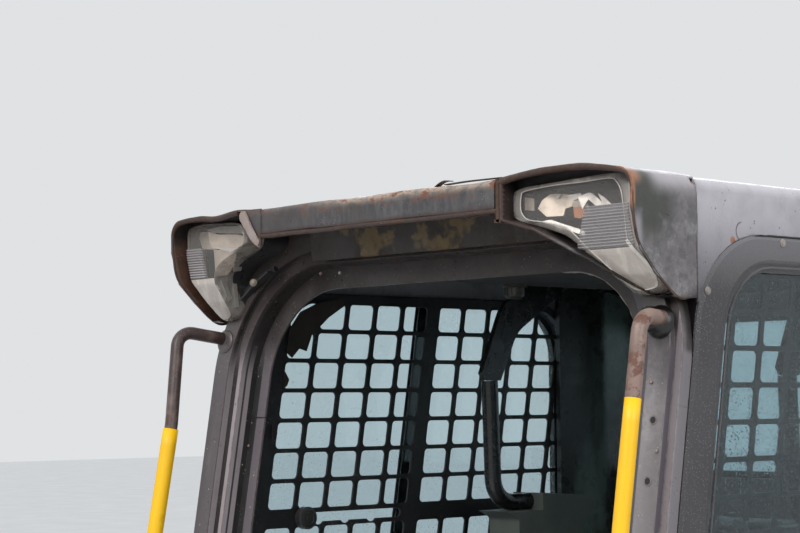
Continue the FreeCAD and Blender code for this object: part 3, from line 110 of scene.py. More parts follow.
class Tree:
    """A node tree of a material or of the sky, with short calls for the nodes used here."""

    def __init__(self, name, owner=None, output="OutputMaterial"):
        self.name = name
        self.owner = owner or bpy.data.materials.new(name)
        self.owner.use_nodes = True
        self.tree = self.owner.node_tree
        self.tree.nodes.clear()
        self.output = self.node(output)
        self.coordinates = self.node("TexCoord")

    def node(self, kind, inputs=(), **settings):
        made = self.tree.nodes.new("ShaderNode" + kind)
        for key, setting in settings.items():
            setattr(made, key, setting)
        for key, source in dict(inputs).items():
            self.feed(made.inputs[key], source)
        return made

    def feed(self, socket, source):
        if isinstance(source, bpy.types.NodeSocket):
            self.tree.links.new(source, socket)
        elif source is not None:
            if socket.type == "RGBA" and len(source) == 3:
                source = (*source, 1)
            socket.default_value = source

    def place(self, scale=(1, 1, 1)):
        mapping = self.node("Mapping", {"Vector": self.coordinates.outputs["Object"]})
        mapping.inputs["Scale"].default_value = scale
        return mapping.outputs["Vector"]

    def noise(self, scale, detail=4, rough=0.55, stretch=(1, 1, 1)):
        made = self.node("TexNoise", {"Vector": self.place(stretch), "Scale": scale,
                                      "Detail": detail, "Roughness": rough})
        return made.outputs["Fac"]

    def cells(self, scale, stretch=(1, 1, 1), feature="F1"):
        made = self.node("TexVoronoi", {"Vector": self.place(stretch), "Scale": scale,
                                        "Randomness": 1}, feature=feature)
        return made.outputs["Distance"]

    def axis(self, letter):
        split = self.node("SeparateXYZ", {0: self.coordinates.outputs["Object"]})
        return split.outputs[letter.upper()]

    def vectors(self, operation, first, second):
        made = self.node("VectorMath", {0: first, 1: second}, operation=operation)
        return made.outputs["Value"]

    def depth(self):
        """How far a point lies behind the leaning front plane."""
        made = self.vectors("DOT_PRODUCT", self.coordinates.outputs["Object"], (0, COS, -SIN))
        return self.math("SUBTRACT", made, FOOT_Y * COS)

    def near(self, point, inner, outer):
        """1 round a point of the part, 0 beyond the outer distance."""
        made = self.vectors("DISTANCE", self.coordinates.outputs["Object"], point)
        return self.between(made, outer, inner)

    def edges(self, radius):
        """1 along the edges of a form."""
        soft = self.node("Bevel", {"Radius": radius}, samples=4).outputs["Normal"]
        hard = self.node("NewGeometry").outputs["Normal"]
        return self.between(self.vectors("DOT_PRODUCT", soft, hard), 0.985, 0.86)

    def seen(self):
        """1 for rays of the camera, also through glass or off a mirror."""
        rays = self.node("LightPath").outputs
        return self.math("MAXIMUM", rays["Is Camera Ray"],
                         self.math("MAXIMUM", rays["Is Transmission Ray"],
                                   rays["Is Glossy Ray"]))

    def between(self, source, low, high, to_low=0, to_high=1):
        made = self.node("MapRange", {"Value": source, "From Min": low, "From Max": high,
                                      "To Min": to_low, "To Max": to_high})
        made.interpolation_type = "SMOOTHSTEP"
        return made.outputs["Result"]

    def band(self, source, low, high, soft):
        """1 between two levels with soft ends."""
        return self.level((source, low - soft, low + soft), (source, high + soft, high - soft))

    def math(self, operation, *sources):
        made = self.node("Math", dict(enumerate(sources)), operation=operation)
        return made.outputs["Value"]

    def level(self, *masks):
        """Product of masks: levels, numbers or what between() takes."""
        product = None
        for mask in masks:
            if isinstance(mask, tuple):
                mask = self.between(*mask)
            product = mask if product is None else self.math("MULTIPLY", product, mask)
        return product

    def mix(self, factor, first, second):
        made = self.node("Mix", data_type="RGBA")
        for key, source in ((0, factor), (6, first), (7, second)):
            self.feed(made.inputs[key], source)
        return made.outputs[2]

    def laid(self, colour, *zones):
        """Colour with each zone, a tone and its masks, laid over it in turn."""
        for tone, *masks in zones:
            colour = self.mix(self.level(*masks), colour, srgb(*tone))
        return colour

    def bump(self, height, strength, distance, under=None):
        made = self.node("Bump", {"Height": height, "Strength": strength,
                                  "Distance": distance, "Normal": under})
        return made.outputs["Normal"]

    def finish(self, **sockets):
        """Feeds the surface and keeps the material under its name."""
        shader = self.node("BsdfPrincipled")
        for key, source in sockets.items():
            self.feed(shader.inputs[key.replace("_", " ")], source)
        self.tree.links.new(shader.outputs["BSDF"], self.output.inputs["Surface"])
        MATERIALS[self.name] = self.owner


def srgb(red, green, blue):
    """Linear colour of a written 0 to 255 one."""
    return tuple(((v / 255 + 0.055) / 1.055) ** 2.4 if v > 10 else v / 255 / 12.92
                 for v in (red, green, blue))


def times(colour, factor):
    return tuple(min(1, c * factor) for c in colour)


def worn_paint(name, paint, dust, rust=0.35, gloss=0.45, dusty=0.5, edge=0.5, zones=None):
    """Old sheet-metal paint: cloudy dust, scratches, rust spots and worn, rusty edges."""
    t = Tree(name)
    paint, dust = srgb(*paint), srgb(*dust)
    fine = t.noise(90, 5, 0.7)
    cloud = t.math("ADD", t.noise(7, 6, 0.6), t.noise(26, 4, 0.6, stretch=(1, 1, 0.18)))
    dirt = t.level((cloud, 0.85, 1.25), dusty)
    colour = t.mix(dirt, paint, dust)
    colour = t.mix(t.between(fine, 0.3, 0.75), colour, times(paint, 0.8))
    blotch = t.between(t.noise(24, 6, 0.7), 0.34, 0.66, 0, 0.45)
    colour = t.mix(blotch, colour, times(paint, 0.62))
    if zones:
        colour = zones(t, colour)
    lines = t.cells(34, stretch=(1, 2.2, 6), feature="DISTANCE_TO_EDGE")
    colour = t.laid(
        colour, ((168, 162, 158), (lines, 0.004, 0.0, 0, 0.5), (t.noise(15, 3), 0.56, 0.66)),
        ((186, 176, 164), (t.cells(260), 0.16, 0.1), (t.noise(30, 3), 0.55, 0.62, 0, 0.7)))
    spots = t.level((t.noise(38, 6, 0.72), 0.66, 0.72), (t.noise(9, 2), 0.45, 0.6, 0, rust))
    worn = t.level(t.edges(0.004), (t.noise(70, 4), 0.42, 0.6, 0, edge))
    spots = t.math("MAXIMUM", spots, worn)
    tone = t.laid(srgb(46, 30, 24), ((88, 54, 38), (t.noise(110, 4), 0.35, 0.6)),
                  ((156, 110, 82), (t.noise(150, 3), 0.62, 0.7)))
    colour = t.mix(spots, colour, tone)
    rough = t.between(t.math("ADD", fine, dirt), 0.3, 1.2, gloss - 0.1, gloss + 0.2)
    rough = t.math("ADD", rough, t.level(spots, 0.3))
    normal = t.bump(t.noise(11, 2), 0.35, 0.002)
    normal = t.bump(t.noise(240, 3), 0.12, 0.0006, normal)
    normal = t.bump(spots, 0.5, 0.0008, normal)
    t.finish(Base_Color=colour, Roughness=rough, Normal=normal)


# Painted light and shade on the steps of a post, from its face to the lip beside the door way: lit
# faces lighter, grooves and recesses darker. Depth from and to, X from and to, tone.
RIGHT_STEP_LIGHT_SHADE = (
    (-0.01, 0.0012, -0.5, -0.38, (84, 78, 81)),
    (0.0012, 0.0122, -0.5, -0.38, (150, 142, 144)),
    (0.0122, 0.0136, -0.5, -0.4205, (44, 41, 43)),
    (0.0122, 0.0215, -0.4205, -0.38, (160, 151, 154)),
    (0.0215, 0.0250, -0.5, -0.38, (66, 58, 60)),
    (0.0250, 0.0340, -0.5, -0.38, (160, 151, 153)),
    (0.0340, 0.0460, -0.5, -0.3985, (34, 35, 36)),
    (0.0434, 0.0600, -0.3985, -0.34, (104, 98, 103)))
LEFT_STEP_LIGHT_SHADE = (
    (0.0122, 0.0145, 0.38, 0.4306, (64, 62, 70)),
    (0.0012, 0.0104, 0.4625, 0.4656, (84, 78, 85)),
    (0.0104, 0.0120, 0.4642, 0.4758, (146, 138, 142)),
    (0.0135, 0.0600, 0.4740, 0.4760, (118, 113, 117)))


def arch_zones(t, colour):
    """Painted shade in the arch's steps and in the dark recess beside the door way, a browner head
    with painted shade under the visor, painted highlight marks down the posts and painted light
    and shade on each step of the posts.
    """
    x, z, depth = t.axis("x"), t.axis("z"), t.depth()
    # Painted shade: the shallow groove and the recess beside the door way are darkened.
    recess_shade = t.level((depth, 0.015, 0.024), (depth, 0.0448, 0.043), 0.88)
    dark = t.math("MAXIMUM", recess_shade, t.band(depth, 0.003, 0.0095, 0.0015))
    colour = t.laid(
        # Browner, darker head: brown grime, and painted shade under the visor, darker still under
        # the left hood.
        colour, ((62, 52, 46), (z, 1.06, 1.25, 0, 0.72)),
        ((36, 31, 28), (z, 1.18, 1.24), (x, 0.1, 0.26, 0, 0.6)),
        ((30, 25, 24), dark, (t.noise(20, 4), 0.2, 0.55, 0.65, 1)),
        # Pale vertical marks down the posts: painted highlight lines.
        ((146, 142, 145), (z, 1.22, 1.12),
         (t.noise(60, 5, stretch=(1, 1, 0.16)), 0.52, 0.7, 0, 0.5)),
        ((196, 182, 160), (t.cells(150), 0.13, 0.09), (t.noise(44, 3), 0.53, 0.58)),
        ((176, 170, 170), (x, 0.38, 0.42, 0, 0.3), (z, 1.16, 1.08)))
    right = t.level((x, -0.34, -0.36), (t.noise(30, 4, stretch=(1, 1, 0.3)), 0.2, 0.5, 0.72, 0.95),
                    (z, 1.2, 1.13))
    # Each step's tone paints the light or shade on that face.
    for share, steps in ((right, RIGHT_STEP_LIGHT_SHADE), (0.85, LEFT_STEP_LIGHT_SHADE)):
        for low, high, beyond, before, tone in steps:
            colour = t.laid(colour, (tone, t.band(depth, low, high, 0.0004),
                                     t.band(x, beyond, before, 0.0004), share))
    return t.laid(
        colour, ((26, 24, 26), t.band(z, 1.0755, 1.0775, 0.0004), (x, -0.37, -0.38),
                 (depth, 0.043, 0.044)),
        ((178, 176, 156), (t.cells(130), 0.2, 0.14), right, (t.noise(50, 3), 0.58, 0.62)))


def cab_zones(t, colour):
    """A pale, painted sky reflection on the wet upper panels, dirt at the foot, a curled scratch
    and rust by the window.
    """
    z, curl = t.axis("z"), (HALF, -0.255, 1.313)
    ring = t.math("SUBTRACT", t.near(curl, 0.0125, 0.0135), t.near(curl, 0.0105, 0.0115))
    return t.laid(
        # Pale top: painted sky reflection on the wet upper panels.
        colour, ((186, 182, 187), (z, 1.22, 1.37), (t.noise(16, 4), 0.25, 0.6, 0.6, 1)),
        ((120, 108, 94), (z, 0.4, 0.0), (t.noise(12, 5), 0.35, 0.65), 0.6),
        ((90, 84, 86), ring, (t.axis("y"), -0.252, -0.262)),
        ((150, 98, 70), t.near((HALF, -0.274, 1.301), 0.003, 0.0065)),
        ((60, 54, 52), (t.cells(120), 0.17, 0.12), (t.noise(21, 3), 0.52, 0.6, 0, 0.8)))


def hood_zones(t, colour):
    """Rust along the rims, painted shade inside the hoods and on the shelf, a smudge and a rusty
    corner on the near cheek, a painted highlight on the tops.
    """
    x, y, z = (t.axis(letter) for letter in "xyz")
    wide = t.math("ABSOLUTE", x)
    across = t.level(t.math("SUBTRACT", wide, 0.3625), t.math("SIGN", x))
    from_middle = t.node("CombineXYZ", {0: across, 2: t.math("SUBTRACT", z, 1.30)})
    facing = t.vectors("DOT_PRODUCT", from_middle.outputs[0],
                       t.node("NewGeometry").outputs["Normal"])
    # Painted shade: the hoods' insides and the shelf under the lamps darken further back, the
    # right hood more, with a lighter patch of painted light on the inside of its outer cheek.
    shaded_inside = t.math("MAXIMUM", t.between(facing, 0.001, -0.001),
                    t.level((wide, 0.4685, 0.467), (z, 1.350, 1.346)))
    inside_shade = t.mix(t.between(y, -0.462, -0.44), srgb(60, 44, 40), srgb(20, 16, 15))
    inside_shade = t.laid(inside_shade, ((30, 24, 23), (x, -0.1, -0.2)),
                  ((86, 60, 48), (x, -0.462, -0.468), (z, 1.365, 1.33),
                   (t.noise(40, 4), 0.3, 0.6, 0.4, 1)))
    colour = t.laid(colour, ((84, 56, 44), (y, HOOD_Y + 0.012, HOOD_Y + 0.002),
                             (t.noise(34, 4), 0.3, 0.5, 0, 0.8)))
    colour = t.mix(shaded_inside, colour, inside_shade)
    ragged = t.noise(24, 4)
    corner = t.math("MAXIMUM", t.near((HALF, -0.461, 1.377), 0.004, 0.022),
                    t.level((y, -0.457, -0.462), t.band(z, 1.335, 1.39, 0.01)))
    return t.laid(
        colour, ((156, 154, 158), (t.noise(34, 6, 0.72), 0.5, 0.68, 0, 0.5),
                 t.math("SUBTRACT", 1.0, shaded_inside), (z, 1.37, 1.34)),
        ((74, 72, 74), (x, 0.46, 0.474), (t.noise(46, 5, 0.65), 0.48, 0.6, 0, 0.55)),
        ((58, 60, 54), t.near((HALF, -0.432, 1.340), 0.024, 0.055),
         (ragged, 0.35, 0.5, 0, 0.9)),
        ((158, 108, 80), corner, (ragged, 0.36, 0.56), (x, 0.43, 0.46)),
        ((160, 158, 164), t.band(z, 1.285, 1.325, 0.012), t.band(y, -0.460, -0.448, 0.005),
         (x, 0.3, 0.4, 0, 0.6)),
        # Lighter tops towards the back: painted highlight.
        ((178, 172, 176), (z, 1.345, 1.372), (y, -0.44, -0.41), 0.7))


def visor_zones(t, colour):
    """A pale, rust-flecked nose with a painted highlight on its rounded top, and a brown, dirty
    foot on the visor.
    """
    x, z = t.axis("x"), t.axis("z")
    flecks = t.noise(60, 5, 0.7, stretch=(0.5, 1, 1))
    return t.laid(
        colour, ((98, 94, 93), (t.noise(120, 4, 0.7, stretch=(1, 1, 0.3)), 0.4, 0.66, 0, 0.6)),
        ((66, 60, 58), (t.noise(13, 5, 0.65), 0.5, 0.66, 0, 0.75)),
        # Pale top of the nose: painted highlight, with rust flecks.
        ((176, 158, 142), (z, 1.371, 1.385), (flecks, 0.35, 0.55, 0.35, 1),
         (x, -0.16, -0.02, 0.3, 1)),
        ((116, 74, 56), (z, 1.362, 1.38), (flecks, 0.5, 0.58)),
        ((62, 58, 58), (x, -0.05, -0.2, 0, 0.55)),
        ((66, 48, 40), (z, 1.356, 1.346), (flecks, 0.3, 0.6, 0.5, 1)))


def pan_zones(t, colour):
    """Tan patches under the visor."""
    return t.laid(colour, ((126, 108, 76), (t.noise(17, 3), 0.53, 0.6),
                           (t.noise(48, 4), 0.35, 0.55, 0.3, 1)))


def handle_zones(t, colour):
    """Steel worn bare and rusty in patches, darker on the machine's right."""
    return t.laid(colour, ((138, 116, 106), (t.noise(24, 4), 0.3, 0.62, 0.35, 1)),
                  ((96, 60, 46), (t.noise(46, 5, 0.7), 0.5, 0.57, 0, 0.85)),
                  ((64, 52, 50), (t.axis("x"), 0.2, -0.2), (t.noise(30, 4), 0.3, 0.55, 0.5, 0.95)))


def moulding(name, dark, light, gloss=0.6, grain=900, dirt=0.4, drops=0.0, nicks=None,
             painted_sheen=None):
    """Moulded plastic or rubber with a fine grain and dusty patches; where asked, pale drops with
    painted glints and a painted sky reflection at the top, and painted highlight marks.
    """
    t = Tree(name)
    dark, light = srgb(*dark), srgb(*light)
    colour = t.mix(t.between(t.noise(9, 5), 0.35, 0.75, 0, dirt), dark, light)
    worn = t.level(t.edges(0.003), (t.noise(50, 4), 0.4, 0.6, 0, 0.5))
    colour = t.mix(worn, colour, times(light, 1.5))
    if painted_sheen:
        # Pale vertical marks: painted highlight on the trim.
        bright = (t.noise(13, 3, stretch=(1, 1, 0.16)), 0.5, 0.64, 0, 0.8)
        colour = t.laid(colour, (painted_sheen, bright))
    rough = t.between(t.noise(40, 4), 0.2, 0.8, gloss - 0.08, gloss + 0.12)
    normal = t.bump(t.cells(grain), 0.18, 0.0003)
    if drops:
        bead = t.level((t.cells(330), 0.3, 0.12), (t.noise(14, 3), 0.35, 0.6, 0.3, 1))
        normal = t.bump(bead, 0.7, 0.0012, normal)
        # The pale drops are painted glints, and the lighter top a painted sky reflection.
        colour = t.laid(colour, ((176, 174, 176), bead, drops),
                        ((120, 118, 121), (t.axis("z"), 1.22, 1.31, 0, 0.7)))
        rough = t.math("SUBTRACT", rough, t.level(bead, 0.35))
    if nicks:
        chipped = t.level((t.cells(85), 0.14, 0.1), (t.noise(26, 3), 0.55, 0.6))
        grime = t.between(t.noise(34, 5), 0.6, 0.75, 0, 0.3)
        colour = t.laid(colour, (nicks, t.math("MAXIMUM", chipped, grime)))
        normal = t.bump(chipped, -0.6, 0.001, normal)
    t.finish(Base_Color=colour, Roughness=rough, Normal=normal)


def window_glass(name, tint):
    """Tinted pane with rain drops on it."""
    t = Tree(name)
    bead = t.level((t.cells(190), 0.24, 0.1), (t.noise(12, 3), 0.42, 0.6))
    small = t.between(t.cells(520), 0.16, 0.08, 0, 0.6)
    normal = t.bump(t.math("MAXIMUM", bead, small), 0.5, 0.001)
    t.finish(Base_Color=tint, Roughness=0.02, IOR=1.45, Transmission_Weight=1.0, Normal=normal)


def lamp_plastic(name, tint, rough, cover, painted_glints=0.0, ribbed=0.0):
    """Clear or frosted lamp plastic, lightly yellowed and scratched, with painted shade between
    its ribs and painted highlights where asked.
    """
    t = Tree(name)
    t.owner.use_transparency_overlap = True
    tint, cloud = srgb(*tint), t.noise(40, 4)
    colour = t.mix(t.between(cloud, 0.35, 0.7, 0, 0.5), tint, times(tint, 0.8))
    if ribbed:
        # Darker between the ribs: painted shade of their relief.
        rib_shade_wave = t.math("SINE", t.level(t.axis("z"), math.tau / ribbed))
        colour = t.mix(t.between(rib_shade_wave, -0.95, 0.0), srgb(136, 132, 134), colour)
    if painted_glints:
        # Pale vertical glints: painted highlights.
        glint_bands = (t.noise(60, 3, stretch=(1, 1, 0.12)), 0.5, 0.6, 0, painted_glints)
        colour = t.laid(colour, ((232, 224, 214), glint_bands))
    t.finish(Base_Color=colour, Roughness=t.between(cloud, 0.3, 0.7, rough, rough + 0.12),
             IOR=1.49, Alpha=cover, Specular_IOR_Level=0.9,
             Normal=t.bump(t.noise(300, 2), 0.1, 0.0004))


def mirror(name, tint, rough):
    """Metallised plastic of a reflector."""
    t = Tree(name)
    tint, dull = srgb(*tint), t.noise(70, 4)
    colour = t.mix(t.between(dull, 0.4, 0.7, 0, 0.5), tint, times(tint, 0.7))
    t.finish(Base_Color=colour, Metallic=0.85,
             Roughness=t.between(dull, 0.3, 0.7, rough, rough + 0.15))


worn_paint("cab_paint", (96, 94, 99), (128, 124, 128), gloss=0.34, dusty=0.35, zones=cab_zones)
worn_paint("arch_paint", (112, 109, 113), (154, 149, 153), 0.8, 0.36, 0.7, zones=arch_zones)
worn_paint("hood_paint", (108, 104, 105), (146, 139, 139), 0.7, 0.38, edge=1.0,
           zones=hood_zones)
worn_paint("visor_paint", (68, 68, 72), (108, 102, 99), 1.0, 0.36, edge=1.0,
           zones=visor_zones)
# Darker, browner copy of the paint for the visor's underside and the hoods' backs: painted shade.
worn_paint("shaded_pan_paint", (46, 38, 34), (70, 60, 50), 0.8, 0.55, zones=pan_zones)
worn_paint("rust_edge", (58, 42, 36), (92, 66, 52), 0.9, 0.55, 0.8, 0.5)
worn_paint("pale_edge", (172, 162, 160), (150, 118, 98), 1.0, 0.45, 0.8, 1.0)
worn_paint("grille_paint", (30, 30, 32), (72, 70, 68), 0.3, 0.5, 0.3, 0.35)
worn_paint("handle_steel", (60, 46, 42), (140, 106, 92), 1.0, 0.48, 0.9, zones=handle_zones)
worn_paint("seat_frame", (38, 38, 40), (78, 76, 74))
worn_paint("bar_paint", (26, 26, 28), (52, 50, 50), 0.2, 0.26, 0.3, 0.2)
worn_paint("steel", (150, 140, 122), (186, 176, 158), 0.9, 0.35, edge=0.4)
worn_paint("weld", (150, 142, 138), (182, 170, 160), 0.8, dusty=0.8)
moulding("ring_moulding", (57, 55, 57), (78, 75, 77), 0.42, drops=0.5)
moulding("lamp_bowl", (52, 53, 56), (92, 90, 90), 0.3)
moulding("seal_rubber", (24, 24, 25), (52, 50, 50))
moulding("trim_moulding", (40, 43, 43), (66, 72, 72), 0.28, painted_sheen=(104, 122, 116))
moulding("dome_light", (58, 56, 50), (84, 80, 70), 0.35)
moulding("grip_yellow", (255, 200, 4), (238, 176, 8), 0.42, 500, nicks=(64, 50, 26))
moulding("boot", (9, 9, 10), (22, 21, 21), 0.35)
moulding("pad_moulding", (74, 82, 77), (112, 116, 110), 0.6, 420)
moulding("lever_rubber", (30, 30, 31), (56, 55, 55))
moulding("headliner", (18, 17, 17), (32, 30, 28), 0.8, 300)
moulding("seat_cover", (34, 35, 37), (58, 58, 60), 0.5, 650)
moulding("flap", (34, 29, 26), (62, 52, 46), dirt=0.8)
window_glass("glass", (0.52, 0.66, 0.70))
lamp_plastic("lamp_lens", (196, 192, 188), 0.04, 0.12)
lamp_plastic("lamp_ribs", (212, 208, 210), 0.1, 0.44, ribbed=0.053 / 14)
lamp_plastic("lamp_frost", (218, 208, 200), 0.16, 0.9, 0.9)
lamp_plastic("lamp_border", (182, 176, 170), 0.14, 0.5, 0.6)
# Pale plastic that paints highlights on lens edges.
lamp_plastic("pale_highlight_plastic", (226, 222, 216), 0.1, 0.9)
lamp_plastic("amber", (214, 138, 92), 0.1, 1.0)
mirror("chrome", (214, 198, 182), 0.36)
mirror("bright_chrome", (218, 212, 204), 0.42)

LOOKS = {"visor_pan": "shaded_pan_paint", "headliner": "headliner"}
for node_name, node in NODES.items():
    node.data.materials.clear()
    node.data.materials.append(MATERIALS[LOOKS.get(node_name, SLOTS[node_name])])


# ---------------------------------------------------------------- mesh helpers

def piece(name, form, material, replaces=(), smooth=30, body="cab"):
    """Puts a mesh, or several as one, into the scene as a piece that rides on a body."""
    mesh = merged(form) if isinstance(form, list) else form
    made = bpy.data.objects.new(name, mesh)
    bpy.context.collection.objects.link(made)
    mesh.materials.clear()
    mesh.materials.append(MATERIALS[material])
    mesh.shade_smooth()
    mesh.set_sharp_from_angle(angle=math.radians(smooth))
    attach(made, body)
    if replaces:
        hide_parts(*replaces)
    return made


def from_lists(points, faces):
    mesh = bpy.data.meshes.new("form")
    mesh.from_pydata([tuple(p) for p in points], [], faces)
    mesh.update()
    return mesh


def finished(work):
    """Mesh of a worked-on form."""
    mesh = bpy.data.meshes.new("form")
    work.to_mesh(mesh)
    work.free()
    return mesh


def outward(work):
    """Mesh of the worked-on faces, turned outwards."""
    bmesh.ops.recalc_face_normals(work, faces=work.faces[:])
    return finished(work)


def merged(meshes):
    """One mesh from several, with its faces turned outwards."""
    work = bmesh.new()
    for mesh in meshes:
        work.from_mesh(mesh)
        bpy.data.meshes.remove(mesh)
    return outward(work)


def smooth_line(points, steps=4, closed=False):
    """Points of a smooth line through the given ones."""
    points = [Vector(p) for p in points]
    count = len(points)
    line = []
    for i in range(count if closed else count - 1):
        if closed:
            a, b, c, d = (points[(i + k) % count] for k in (-1, 0, 1, 2))
        else:
            a, b, c, d = (points[min(max(i + k, 0), count - 1)] for k in (-1, 0, 1, 2))
        for n in range(steps):
            t = n / steps
            line.append(0.5 * (2 * b + (c - a) * t + (2 * a - 5 * b + 4 * c - d) * t * t
                               + (3 * b - 3 * c + d - a) * t ** 3))
    return line if closed else line + [points[-1]]


def circle(radius, sides=8):
    """Round section for a sweep."""
    return [(radius * math.cos(math.tau * k / sides), radius * math.sin(math.tau * k / sides))
            for k in range(sides)]


def ribbon(wide, thick):
    """Flat section for a sweep, from its middle to its edges."""
    return [(wide, -thick), (wide, thick), (-wide, thick), (-wide, -thick)]


def loft(points, sides, gap=-1):
    """Rings of points joined to a solid; the gap after one ring gets two caps."""
    count = len(points) // sides
    faces = []
    for i in range(count):
        a, b = i * sides, (i + 1) % count * sides
        if gap is not None and i == gap % count:
            faces += [tuple(range(a, a + sides)), tuple(reversed(range(b, b + sides)))]
        else:
            faces += [(a + k, a + (k + 1) % sides, b + (k + 1) % sides, b + k)
                      for k in range(sides)]
    return from_lists(points, faces)


def sweep(path, section, up=(0, 0, 1), closed=False, size=None):
    """Solid with a section of (side, up) points carried along a path."""
    path = [Vector(p) for p in path]
    count = len(path)
    points = []
    for i, here in enumerate(path):
        ahead = path[(i + 1) % count] if closed or i + 1 < count else here
        back = path[i - 1] if closed or i else here
        along = (ahead - back).normalized()
        side = along.cross(Vector(up)).normalized()
        over = side.cross(along)
        grow = size(i / (count - 1)) if size else 1
        points += [here + side * a * grow + over * b * grow for a, b in section]
    return loft(points, len(section), None if closed else -1)


def turned(profile, place, axis=(0, 0, 1), sides=16):
    """Solid turned from (radius, height) points about an axis through a place."""
    spin = Vector((0, 0, 1)).rotation_difference(Vector(axis)).to_matrix()
    return loft([Vector(place) + spin @ Vector((*p, height)) for radius, height in profile
                 for p in circle(radius, sides)], sides)


def bolt(place, axis, radius=0.007, washer=True, sides=14):
    """Domed bolt head, with a washer under it, standing on a face."""
    rows = [(radius, 0), (radius, 0.0009), (radius * 0.9, 0.0014)] if washer else []
    rows += [(radius * 0.68, 0.0014), (radius * 0.66, 0.0026), (radius * 0.5, 0.0034),
             (radius * 0.24, 0.0038)]
    return turned(rows, place, axis, sides)


def dented(nodes, longest, shift, gone=None):
    """Copy of CAD nodes with short edges, moved by shift(point), without what gone names."""
    work = bmesh.new()
    for node in nodes:
        work.from_mesh(NODES[node].data)
    bmesh.ops.remove_doubles(work, verts=work.verts[:], dist=1e-5)
    for _ in range(7):
        edges = [e for e in work.edges if e.calc_length() > longest]
        if not edges:
            break
        bmesh.ops.subdivide_edges(work, edges=edges, cuts=1)
        bmesh.ops.triangulate(work, faces=[f for f in work.faces if len(f.verts) > 3])
    if gone:
        bmesh.ops.delete(work, geom=[v for v in work.verts if gone(v.co)], context="VERTS")
    for vert in work.verts:
        vert.co += shift(vert.co)
    return finished(work)


def wave(point, scale, height, seed=0.0):
    """Smooth random shift of a point, the same on both faces of a sheet."""
    return noise.noise_vector(point * scale + Vector((seed, 0, 0))) * height


def plate(points, y, thick, lean=0.0, turn=0.0):
    """Flat chip from an outline in (x, z) mm at a depth, leaned and turned a little."""
    middle = [sum(p[k] for p in points) / len(points) for k in (0, 1)]
    front = [Vector((x / 1000, y + (z - middle[1]) / 1000 * lean
                     + (x - middle[0]) / 1000 * turn, z / 1000)) for x, z in points]
    return loft(front + [p + Vector((0, thick, 0)) for p in front], len(points))


def slab(points, x, thick):
    """Flat plate across X from an outline in (y, z) mm."""
    return loft([(x + shift, y / 1000, z / 1000) for shift in (0, thick) for y, z in points],
                len(points))


def flat_plate(name, outline, holes, x, thick, bevel):
    """Plate in a plane across X from outlines in (y, z), with softened edges."""
    curve = bpy.data.curves.new(name, "CURVE")
    curve.dimensions = "2D"
    curve.fill_mode = "BOTH"
    curve.extrude = thick / 2 - bevel
    curve.bevel_depth = bevel
    curve.bevel_resolution = 1
    curve.offset = -bevel
    for loop in [outline] + holes:
        spline = curve.splines.new("POLY")
        spline.points.add(len(loop) - 1)
        for point, (y, z) in zip(spline.points, loop):
            point.co = (y, z, 0, 1)
        spline.use_cyclic_u = True
    holder = bpy.data.objects.new(name + "_outline", curve)
    bpy.context.collection.objects.link(holder)
    bpy.context.view_layer.update()
    depsgraph = bpy.context.evaluated_depsgraph_get()
    mesh = bpy.data.meshes.new_from_object(holder.evaluated_get(depsgraph))
    bpy.data.objects.remove(holder)
    mesh.transform(Matrix(((0, 0, 1, x), (1, 0, 0, 0), (0, 1, 0, 0), (0, 0, 0, 1))))
    return mesh


def rounded(corners, steps=5):
    """Outline through (a, b, radius) corners with each corner turned into an arc."""
    outline = []
    count = len(corners)
    for i, (a, b, radius) in enumerate(corners):
        here = Vector((a, b))
        back = (Vector(corners[i - 1][:2]) - here).normalized()
        ahead = (Vector(corners[(i + 1) % count][:2]) - here).normalized()
        if not radius:
            outline.append(tuple(here))
            continue
        half = back.angle(ahead) / 2
        centre = here + (back + ahead).normalized() * (radius / math.sin(half))
        start = here + back * (radius / math.tan(half)) - centre
        stop = here + ahead * (radius / math.tan(half)) - centre
        turn = start.angle_signed(stop)
        for n in range(steps + 1):
            angle = -turn * n / steps
            outline.append((centre.x + start.x * math.cos(angle) - start.y * math.sin(angle),
                            centre.y + start.x * math.sin(angle) + start.y * math.cos(angle)))
    return outline


def clipped(outline, border):
    """The part of a convex outline inside a convex border, both counter-clockwise."""
    result = list(outline)
    for i, start in enumerate(border):
        stop = border[(i + 1) % len(border)]
        kept = []

        def inside(p):
            return ((stop[0] - start[0]) * (p[1] - start[1])
                    - (stop[1] - start[1]) * (p[0] - start[0])) >= 0

        for j, here in enumerate(result):
            before = result[j - 1]
            if inside(here) != inside(before):
                d1 = (stop[0] - start[0], stop[1] - start[1])
                d2 = (here[0] - before[0], here[1] - before[1])
                cross = d1[0] * d2[1] - d1[1] * d2[0]
                if abs(cross) > 1e-14:
                    s = (d1[0] * (start[1] - before[1]) - d1[1] * (start[0] - before[0])) / cross
                    kept.append((before[0] + s * d2[0], before[1] + s * d2[1]))
            if inside(here):
                kept.append(here)
        result = kept
        if not result:
            break
    return result


def area(outline):
    return 0.5 * sum(a[0] * b[1] - b[0] * a[1]
                     for a, b in zip(outline, outline[1:] + outline[:1]))


def arc(y, z, radius, start, stop, count):
    """Points of an arc between two angles in degrees."""
    angles = [math.radians(start + (stop - start) * n / (count - 1)) for n in range(count)]
    return [(y + radius * math.cos(angle), z + radius * math.sin(angle)) for angle in angles]


# ---------------------------------------------------------------- side grilles

WINDOW_LOW, WINDOW_HIGH, WINDOW_BACK, WINDOW_SET = 0.612, 1.263, 0.380, 0.095
GRILLE_X, GRILLE_THICK = 0.424, 0.004
PITCH_Y, PITCH_Z = 0.061, 0.048
HOLE_Y, HOLE_Z, HOLE_BEND = 0.026, 0.0205, 0.0068      # half sizes of a hole, its corners
BAND_ROW, BAND, DIVIDER_COLUMN, DIVIDER = 7, 0.023, 5, 0.020


